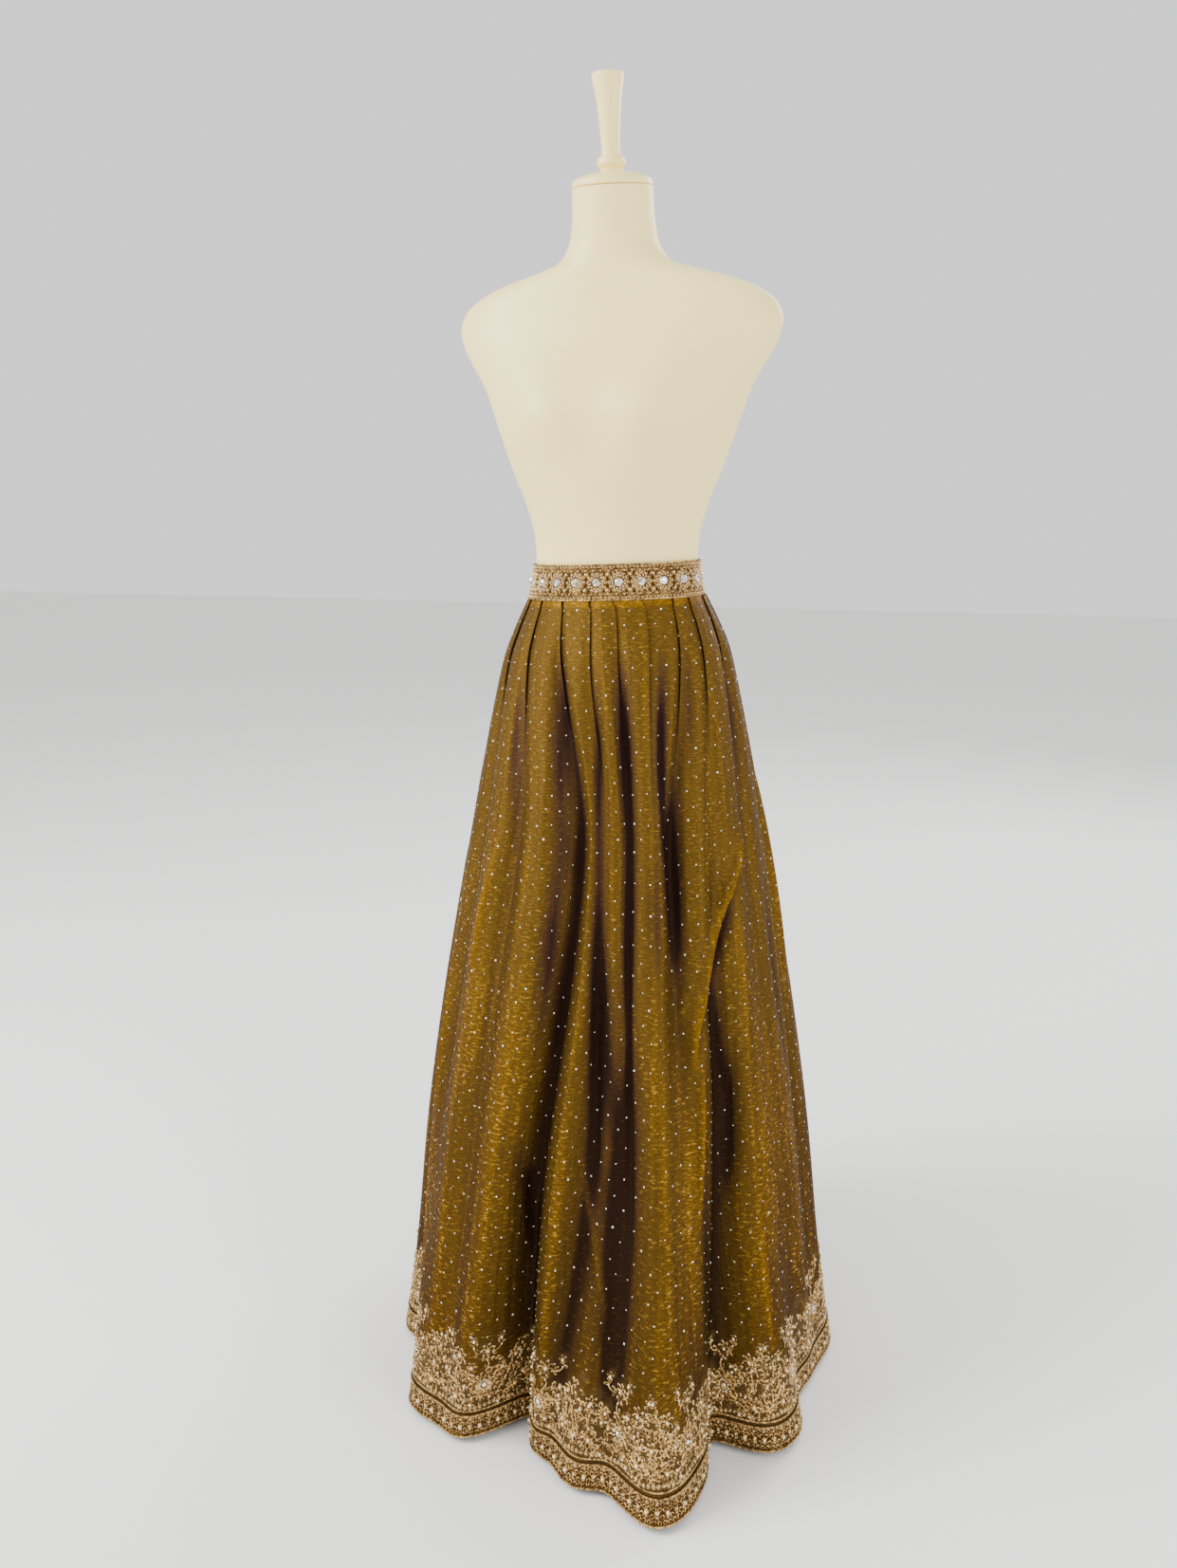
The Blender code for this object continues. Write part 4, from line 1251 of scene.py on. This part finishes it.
class LEHENGA_OT_waistband(bpy.types.Operator):
    """Works the waistband: cords, rows of thread rings and a round of stones"""

    bl_idname = "lehenga.waistband"
    bl_label = "Waistband"

    def execute(self, context):
        settings = context.scene.lehenga_work
        ground = band_cloth(settings)
        for node in ("waistband", "band_lap"):
            coat(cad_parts[node], ground)
        thread, pearls, stones = Pile(), Pile(), Pile()
        ring, bead = thread_ring(10, 4, 0.13), bead_unit()
        for up in (BAND_CORD_IN, BAND_HEIGHT - BAND_CORD_IN):
            thread.cord(band, band_row(up), 0.0006, BAND_CORD_RADIUS, 720, 0.22)
        count = round(float(band.arc[BAND_MIDDLE_ROW, -1]) / settings.ring)
        for outer, inner in (
            (BAND_OUTER_IN, BAND_INNER_IN),
            (BAND_HEIGHT - BAND_OUTER_IN, BAND_HEIGHT - BAND_INNER_IN),
        ):
            self.row(thread, ring, outer, count, 0.0, settings.ring)
            self.row(pearls, bead, outer, count, 0.0, BAND_OUTER_BEAD)
            self.row(thread, ring, inner, count, 0.5, settings.ring * BAND_INNER_RING)
            self.row(pearls, bead, inner, count // 2, 0.5, BAND_INNER_BEAD)
        stones_round = settings.medallions
        for up in (BAND_BETWEEN_IN, BAND_HEIGHT - BAND_BETWEEN_IN):
            self.row(thread, ring, up, stones_round, 0.5, BAND_BETWEEN_RING)
            self.row(pearls, bead, up, stones_round, 0.5, BAND_BETWEEN_BEAD)
        loop = thread_ring(9, 4, 0.14, 1.15)
        for turn in np.arange(LOOPS_ROUND_STONE) * math.tau / LOOPS_ROUND_STONE:
            self.round(thread, loop, turn, LOOP_OUT, LOOP_WIDTH)
            self.round(pearls, bead, turn + BEAD_BETWEEN_TURN, BEAD_BETWEEN_OUT, BEAD_BETWEEN_WIDTH)
            self.round(pearls, bead, turn, BEAD_IN_OUT, BEAD_IN_WIDTH)
        self.row(thread, thread_ring(14, 4, 0.075), BAND_HEIGHT / 2, stones_round, 0.0, STONE_RING)
        self.row(stones, stone_unit(), BAND_HEIGHT / 2, stones_round, 0.0, STONE_WIDTH)
        dress(thread.make("band_thread", 60), metal_thread(settings), "embroidery")
        dress(pearls.make("band_pearls", 180), pearl_finish(settings), "embroidery")
        dress(stones.make("band_stones", 5), stone_finish(settings), "embroidery")
        return {"FINISHED"}

    def row(self, pile, piece, up, count, offset, size):
        """Copies of a unit at even distances round the band, at a height above its lower edge."""
        along = (np.arange(count) + offset) / count * band.arc[BAND_MIDDLE_ROW, -1]
        self.put(pile, piece, along, up, 0.0, size)

    def round(self, pile, piece, turn, radius, size):
        """One copy beside each stone, the same way round each."""
        count = bpy.context.scene.lehenga_work.medallions
        along = np.arange(count) / count * band.arc[BAND_MIDDLE_ROW, -1] + radius * math.cos(turn)
        up = BAND_HEIGHT / 2 + radius * math.sin(turn)
        self.put(pile, piece, along, up, turn - math.pi / 2, size)

    def put(self, pile, piece, along, up, turn, size):
        """Copies of a unit at distances round the band, all at one height."""
        rows = np.full(len(along), band_row(up))
        columns = band.column_at(along, BAND_MIDDLE_ROW)
        pile.copies(piece, band.frames(rows, columns, turn, 0.0003), size)


def band_row(up):
    """The row of the band's grid at a height above its lower edge."""
    return up / BAND_HEIGHT * (len(band.points) - 1)


class LEHENGA_OT_hem_border(bpy.types.Operator):
    """Makes the strip on the hem's edge and its rows of thread rings"""

    bl_idname = "lehenga.hem_border"
    bl_label = "Hem border"

    def execute(self, context):
        settings = context.scene.lehenga_work
        columns = np.arange(cloth.points.shape[1], dtype=float)
        points = []
        for up in np.linspace(0, BORDER_HEIGHT, 6):
            rows = np.full(len(columns), cloth.row_at(up))
            points.append(cloth.frames(rows, columns, 0.0, BORDER_OFF_CLOTH)[0])
        strip = grid("hem_strip", np.array(points))
        edit(strip, (bpy.ops.mesh.remove_doubles, {"threshold": SAME_POINT}))
        modify(strip, "SOLIDIFY", thickness=0.0009, offset=-1.0)
        shade(strip, 70)
        dress(strip, band_cloth(settings), "embroidery", "hem_border")
        thread, beads = Pile(), Pile()
        count = round(HEM_LENGTH / BORDER_SPACING)
        ring, bead = thread_ring(8, 3, 0.13), bead_unit()
        for i, up in enumerate(BORDER_ROWS):
            along = (np.arange(count) + 0.5 * (i % 2)) / count * HEM_LENGTH
            thread.copies(ring, self.frames(along, up), settings.ring)
            if i % 2:
                beads.copies(bead, self.frames(along[::2], up), 0.0019)
        along = (np.arange(count // 2) + 0.25) / (count // 2) * HEM_LENGTH
        thread.copies(thread_ring(8, 3, 0.16, 0.72), self.frames(along, BORDER_MIDDLE), 0.0060)
        beads.copies(bead, self.frames(along[1::2], BORDER_MIDDLE), 0.0024)
        beads.copies(pearl_unit(), self.frames(along[::2], BORDER_MIDDLE), 0.0042)
        for up, radius, lift in BORDER_CORDS:
            thread.cord(cloth, float(cloth.row_at(up)), lift, radius, 960, 0.2)
        dress(thread.make("border_thread", 60), metal_thread(settings, "border_metal"), "embroidery")
        dress(beads.make("border_beads", 180), pearl_finish(settings), "embroidery")
        return {"FINISHED"}

    def frames(self, along, up):
        """Frames on the strip, all at one height."""
        rows = np.full(len(along), cloth.row_at(up))
        return cloth.frames(rows, cloth.column_at(along), 0.0, 0.0015)


class LEHENGA_OT_hem_flowers(bpy.types.Operator):
    """Works the flowers, leaves, stems and pearls above the hem border"""

    bl_idname = "lehenga.hem_flowers"
    bl_label = "Hem flowers"

    def execute(self, context):
        settings = context.scene.lehenga_work
        self.random = np.random.default_rng(context.scene.lehenga_skirt.seed + 1)
        self.petal = thread_ring(9, 3, 0.13, 1.55, 0.45)
        self.loop = thread_ring(9, 3, 0.14)
        self.leaf = thread_ring(8, 3, 0.16, 1.9, 0.30)
        self.stone, self.bead, self.pearl = stone_unit(7), bead_unit(), pearl_unit()
        self.stretch = HEM_LENGTH / REPEATS / FLOWER_REPEAT
        self.thread = {"front": Pile(), "back": Pile()}
        self.pearls, self.stones = Pile(), Pile()
        for repeat in range(REPEATS):
            start = repeat * FLOWER_REPEAT * self.stretch
            mirrored = repeat % 2 == 1
            for flower in zip(*FLOWERS.values()):
                self.flower(start, mirrored, *flower)
            for stem in zip(*STEMS.values()):
                self.stem(start, mirrored, *stem)
            self.scallops(start)
        metal = metal_thread(settings, "flower_metal")
        for side, pile in self.thread.items():
            dress(pile.make("flower_thread_" + side, 60), metal, "embroidery")
        dress(self.fill().make("flower_filling", 60), metal, "embroidery")
        dress(self.pearls.make("flower_pearls", 180), pearl_finish(settings), "embroidery")
        dress(self.stones.make("flower_stones", 5), stone_finish(settings), "embroidery")
        return {"FINISHED"}

    def side(self, along):
        """The pile for a place along the hem."""
        spot = cloth.points[0, int(cloth.column_at(along))]
        return self.thread["front" if spot[1] < 0 else "back"]

    def place(self, start, mirrored, x, y):
        """A place along the hem and up it, from a repeat's millimetres."""
        x = FLOWER_REPEAT / MILLIMETRE - x if mirrored else x
        return start + x * MILLIMETRE * self.stretch, y * MILLIMETRE

    def put(self, pile, piece, along, up, turn, size, lift=0.0003):
        """Copies of a unit at places on the cloth."""
        given = [np.atleast_1d(np.asarray(each, float)) for each in (along, up, turn, size)]
        along, up, turn, size = np.broadcast_arrays(*given)
        pile.copies(piece, cloth.frames(cloth.row_at(up), cloth.column_at(along), turn, lift), size)

    def round(self, pile, piece, centre, radius, turns, size, facing=True):
        """Copies of a unit round a centre, facing away from it unless told otherwise."""
        along = centre[0] + radius * np.cos(turns)
        up = centre[1] + radius * np.sin(turns)
        self.put(pile, piece, along, up, turns - math.pi / 2 if facing else 0.0, size)

    def flower(self, start, mirrored, x, y, radius, petals, rounds):
        """A round of petals about a pearl or a stone."""
        jitter = self.random.normal(0, 1.2, 2)
        centre = self.place(start, mirrored, x + jitter[0], y + jitter[1])
        radius = radius * MILLIMETRE * self.random.uniform(0.92, 1.10)
        phase = self.random.uniform(0, math.tau)
        turns = phase + np.arange(petals) * math.tau / petals
        pile = self.side(centre[0])
        inner = radius * (0.44 if rounds == 2 else 0.56)
        size = radius * (0.50 if rounds == 2 else 0.56)
        self.round(pile, self.petal, centre, inner, turns, size)
        self.put(pile, self.loop, *centre, phase, radius * 0.40)
        if rounds == 2:
            more = phase + (np.arange(petals + 4) + 0.5) * math.tau / (petals + 4)
            self.round(pile, self.petal, centre, radius * 0.86, more, radius * 0.40)
            self.put(self.stones, self.stone, *centre, phase, 0.0060)
            self.round(self.pearls, self.bead, centre, inner, more, 0.0022, facing=False)
        else:
            self.put(self.pearls, self.pearl, *centre, 0.0, max(0.0036, radius * 0.36))
            if radius > 0.008:
                self.round(self.pearls, self.bead, centre, radius, turns, 0.0018, facing=False)

    def stem(self, start, mirrored, x, y, end_x, end_y, bend, leaves):
        """A curved stem with pairs of leaves."""
        share = np.linspace(0, 1, STEM_POINTS)
        side = np.array([end_y - y, x - end_x]) / math.hypot(end_x - x, end_y - y)
        xs = x + (end_x - x) * share + bend * side[0] * np.sin(math.pi * share)
        ys = y + (end_y - y) * share + bend * side[1] * np.sin(math.pi * share)
        places = [self.place(start, mirrored, a, b) for a, b in zip(xs, ys)]
        along, up = np.array(places).T
        pile = self.side(along[0])
        origin, _, _, out = cloth.frames(cloth.row_at(up), cloth.column_at(along), 0.0, 0.0006)
        pile.tube(origin, out, 0.00085, 3)
        heading = np.arctan2(np.gradient(up), np.gradient(along))
        points = np.arange(STEM_POINTS)
        for i in range(leaves):
            at = 1 + i * 6 / max(1, leaves - 1)
            spot = np.interp(at, points, along), np.interp(at, points, up)
            for way in (-1, 1):
                turn = heading[int(at)] + way * 0.9
                size = 0.0038 * self.random.uniform(0.85, 1.2)
                self.round(pile, self.leaf, spot, size * 0.9, turn, size)
            if i % 2:
                self.put(self.pearls, self.bead, *spot, 0.0, 0.0024, 0.0008)

    def fill(self):
        """Small loops set close together between the flowers."""
        pile = Pile()
        units = thread_ring(6, 3, 0.17), thread_ring(6, 3, 0.17, 1.5, 0.35)
        count = round(HEM_LENGTH / FILL_GAP)
        levels = np.arange(FILL_FOOT, worked_height(0) + 0.020, FILL_GAP * 0.86)
        for level, up in enumerate(levels):
            along = (np.arange(count) + 0.5 * (level % 2)) / count * HEM_LENGTH
            along += self.random.normal(0, FILL_SCATTER, count)
            up = up + self.random.normal(0, FILL_SCATTER, count)
            kept = up < worked_height(along) + self.random.normal(0, 0.003, count)
            for shape, piece in enumerate(units):
                here = kept & (self.random.integers(0, 2, count) == shape)
                turn = self.random.uniform(0, math.tau, here.sum())
                size = self.random.uniform(*FILL_SIZES, here.sum())
                self.put(pile, piece, along[here], up[here], turn, size, 0.0001)
            beads = kept & (self.random.uniform(0, 1, count) < FILL_BEAD_SHARE)
            self.put(self.pearls, self.bead, along[beads], up[beads], 0.0, FILL_BEAD, 0.0006)
        return pile

    def scallops(self, start):
        """Two rows of rings along the foot of the flowers, and the beads between them."""
        share = (np.arange(SCALLOPS) + 0.5) / SCALLOPS
        along = start + share * FLOWER_REPEAT * self.stretch
        wave = SCALLOP_WAVE * np.sin(share * math.tau * 2)
        pile = self.side(float(along[0]))
        self.put(pile, self.loop, along, SCALLOP_UP + wave, 0.0, 0.0056)
        self.put(pile, self.petal, along[::2], SCALLOP_PETAL_UP + wave[::2], math.pi, 0.0052)
        self.put(self.pearls, self.bead, along, SCALLOP_UP + wave, 0.0, 0.0020)


class LEHENGA_OT_dress_form(bpy.types.Operator):
    """Makes the smooth form, its neck cap and its finial, and paints the stand"""

    bl_idname = "lehenga.dress_form"
    bl_label = "Dress form"

    def execute(self, context):
        settings = context.scene.lehenga_form
        shell = ivory_shell(settings, "form_shell", 0.46)
        paint = ivory_shell(settings, "stand_paint", 0.34)
        angles = np.linspace(0, 360, settings.around + 1)
        bottom, top = FORM["height"][0], FORM["height"][-1]
        trunk = np.linspace(bottom, SHOULDERS, 60, endpoint=False)
        rows = []
        for height in np.append(trunk, np.linspace(SHOULDERS, top, 70)):
            ring = np.column_stack([form_section(height, angles), np.full(len(angles), height)])
            tip = NECK_TILT * ease(height - NECK_FOOT, top - NECK_FOOT)
            middle = float(smooth(FORM["height"], FORM["lean"], height))
            ring[:, 2] += (ring[:, 1] - middle) * math.tan(math.radians(float(tip)))
            rows.append(ring)
        edge = rows[0] * (FORM_FOOT_SHARE, FORM_FOOT_SHARE, 1) - (0, 0, FORM_FOOT_DROP)
        centre = edge.mean(axis=0) * np.ones_like(edge)
        crown = rows[-1].copy()
        middle = crown[:-1].mean(axis=0)
        inset = middle + (crown - middle) * NECK_RIM_SHARE + (0, 0, 0.0001)
        peak = middle * np.ones_like(edge)
        body = grid("form_torso", np.array([centre, edge] + rows + [inset, peak]))
        edit(body, (bpy.ops.mesh.remove_doubles, {"threshold": SAME_POINT}),
             (bpy.ops.mesh.normals_make_consistent, {"inside": False}))
        shade(body, 40)
        dress(body, shell, "form", "form_body")
        for node in ("neck_cap", "finial"):
            self.smoothed(node, paint)
        for node in ("pole_socket", "stand_pole", "stand_base"):
            coat(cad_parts[node], paint)
        return {"FINISHED"}

    def smoothed(self, node, material):
        """A rounder copy of a turned solid."""
        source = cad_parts[node]
        made = bpy.data.objects.new(node + "_turned", source.data.copy())
        bpy.context.scene.collection.objects.link(made)
        edit(made, (bpy.ops.mesh.remove_doubles, {"threshold": SAME_POINT}),
             (bpy.ops.mesh.tris_convert_to_quads, {}))
        corners = {"limit_method": "ANGLE", "angle_limit": math.radians(28)}
        modify(made, "BEVEL", width=0.0006, segments=2, **corners)
        modify(made, "SUBSURF", levels=1, render_levels=1)
        shade(made, 45)
        dress(made, material, "stand", node)


class LEHENGA_OT_stage(bpy.types.Operator):
    """Sets the floor, the lights and the camera"""

    bl_idname = "lehenga.stage"
    bl_label = "Stage"

    def execute(self, context):
        settings = context.scene.lehenga_stage
        deselect()
        bpy.ops.mesh.primitive_plane_add(size=24)
        floor = context.object
        floor.name = "floor"
        finish = Finish("floor_paint", roughness=0.9, specular_ior_level=0.1)
        tone = finish.noise(finish.coordinates("Object"), 2.0, 1.0)
        darker = [part * 0.99 for part in settings.floor]
        coat(floor, finish.set(base_color=finish.mix(tone, settings.floor, darker)))
        world = bpy.data.worlds.new("studio")
        context.scene.world = world
        world.use_nodes = True
        sockets = world.node_tree.nodes["Background"].inputs
        sockets["Color"].default_value = (1.0, 1.0, 1.0, 1)
        sockets["Strength"].default_value = settings.sky
        for name, (place, size, share) in LAMPS.items():
            self.lamp(name, place, size, settings.key * share)
        self.camera(settings)
        return {"FINISHED"}

    def lamp(self, name, place, size, power):
        """A square soft light that looks at the skirt's upper part."""
        deselect()
        bpy.ops.object.light_add(type="AREA", location=place)
        made = bpy.context.object
        made.name = name
        made.data.size = size
        made.data.energy = power
        made.rotation_euler = (LAMPS_AIM - Vector(place)).to_track_quat("-Z", "Y").to_euler()

    def camera(self, settings):
        """The camera at the photograph's angle."""
        turn = settings.azimuth
        toward = Vector((math.sin(turn), -math.cos(turn), 0))
        deselect()
        bpy.ops.object.camera_add(location=toward * settings.distance + Vector((0, 0, settings.height)))
        made = bpy.context.object
        made.rotation_euler = (math.pi / 2 - settings.pitch, 0, turn)
        made.data.sensor_width = SENSOR
        made.data.lens = SENSOR * settings.focal / FRAME_HEIGHT
        made.data.shift_x = (FRAME_WIDTH / 2 - settings.axis_at) / FRAME_HEIGHT
        made.data.shift_y = -settings.shift
        bpy.context.scene.camera = made


class LEHENGA_PT_panel(bpy.types.Panel):
    """Lists the pieces of the skirt and its form"""

    bl_idname = "LEHENGA_PT_panel"
    bl_label = "Lehenga skirt"
    bl_space_type = "VIEW_3D"
    bl_region_type = "UI"
    bl_category = "Lehenga"

    def draw(self, context):
        for settings, operators in LISTED:
            box = self.layout.box()
            group = getattr(context.scene, settings)
            for key in group.__annotations__:
                box.prop(group, key)
            for operator in operators:
                box.operator(operator.bl_idname)


OPERATORS = (
    LEHENGA_OT_stage,
    LEHENGA_OT_cloth,
    LEHENGA_OT_sequins,
    LEHENGA_OT_waistband,
    LEHENGA_OT_hem_border,
    LEHENGA_OT_hem_flowers,
    LEHENGA_OT_dress_form,
)
LISTED = (
    ("lehenga_skirt", (LEHENGA_OT_cloth, LEHENGA_OT_sequins)),
    ("lehenga_work", (LEHENGA_OT_waistband, LEHENGA_OT_hem_border, LEHENGA_OT_hem_flowers)),
    ("lehenga_form", (LEHENGA_OT_dress_form,)),
    ("lehenga_stage", (LEHENGA_OT_stage,)),
)
GROUPS = {
    "lehenga_skirt": SkirtSettings,
    "lehenga_work": WorkSettings,
    "lehenga_form": FormSettings,
    "lehenga_stage": StageSettings,
}


def register():
    """Adds the classes and their settings to Blender."""
    for each in (*GROUPS.values(), *OPERATORS, LEHENGA_PT_panel):
        bpy.utils.register_class(each)
    for key, group in GROUPS.items():
        setattr(bpy.types.Scene, key, PointerProperty(type=group))


def unregister():
    """Takes them away again."""
    for key in GROUPS:
        delattr(bpy.types.Scene, key)
    for each in reversed((*GROUPS.values(), *OPERATORS, LEHENGA_PT_panel)):
        bpy.utils.unregister_class(each)


def main():
    """Makes every piece."""
    register()
    for operator in OPERATORS:
        group, name = operator.bl_idname.split(".")
        getattr(getattr(bpy.ops, group), name)()


if __name__ == "__main__":
    main()
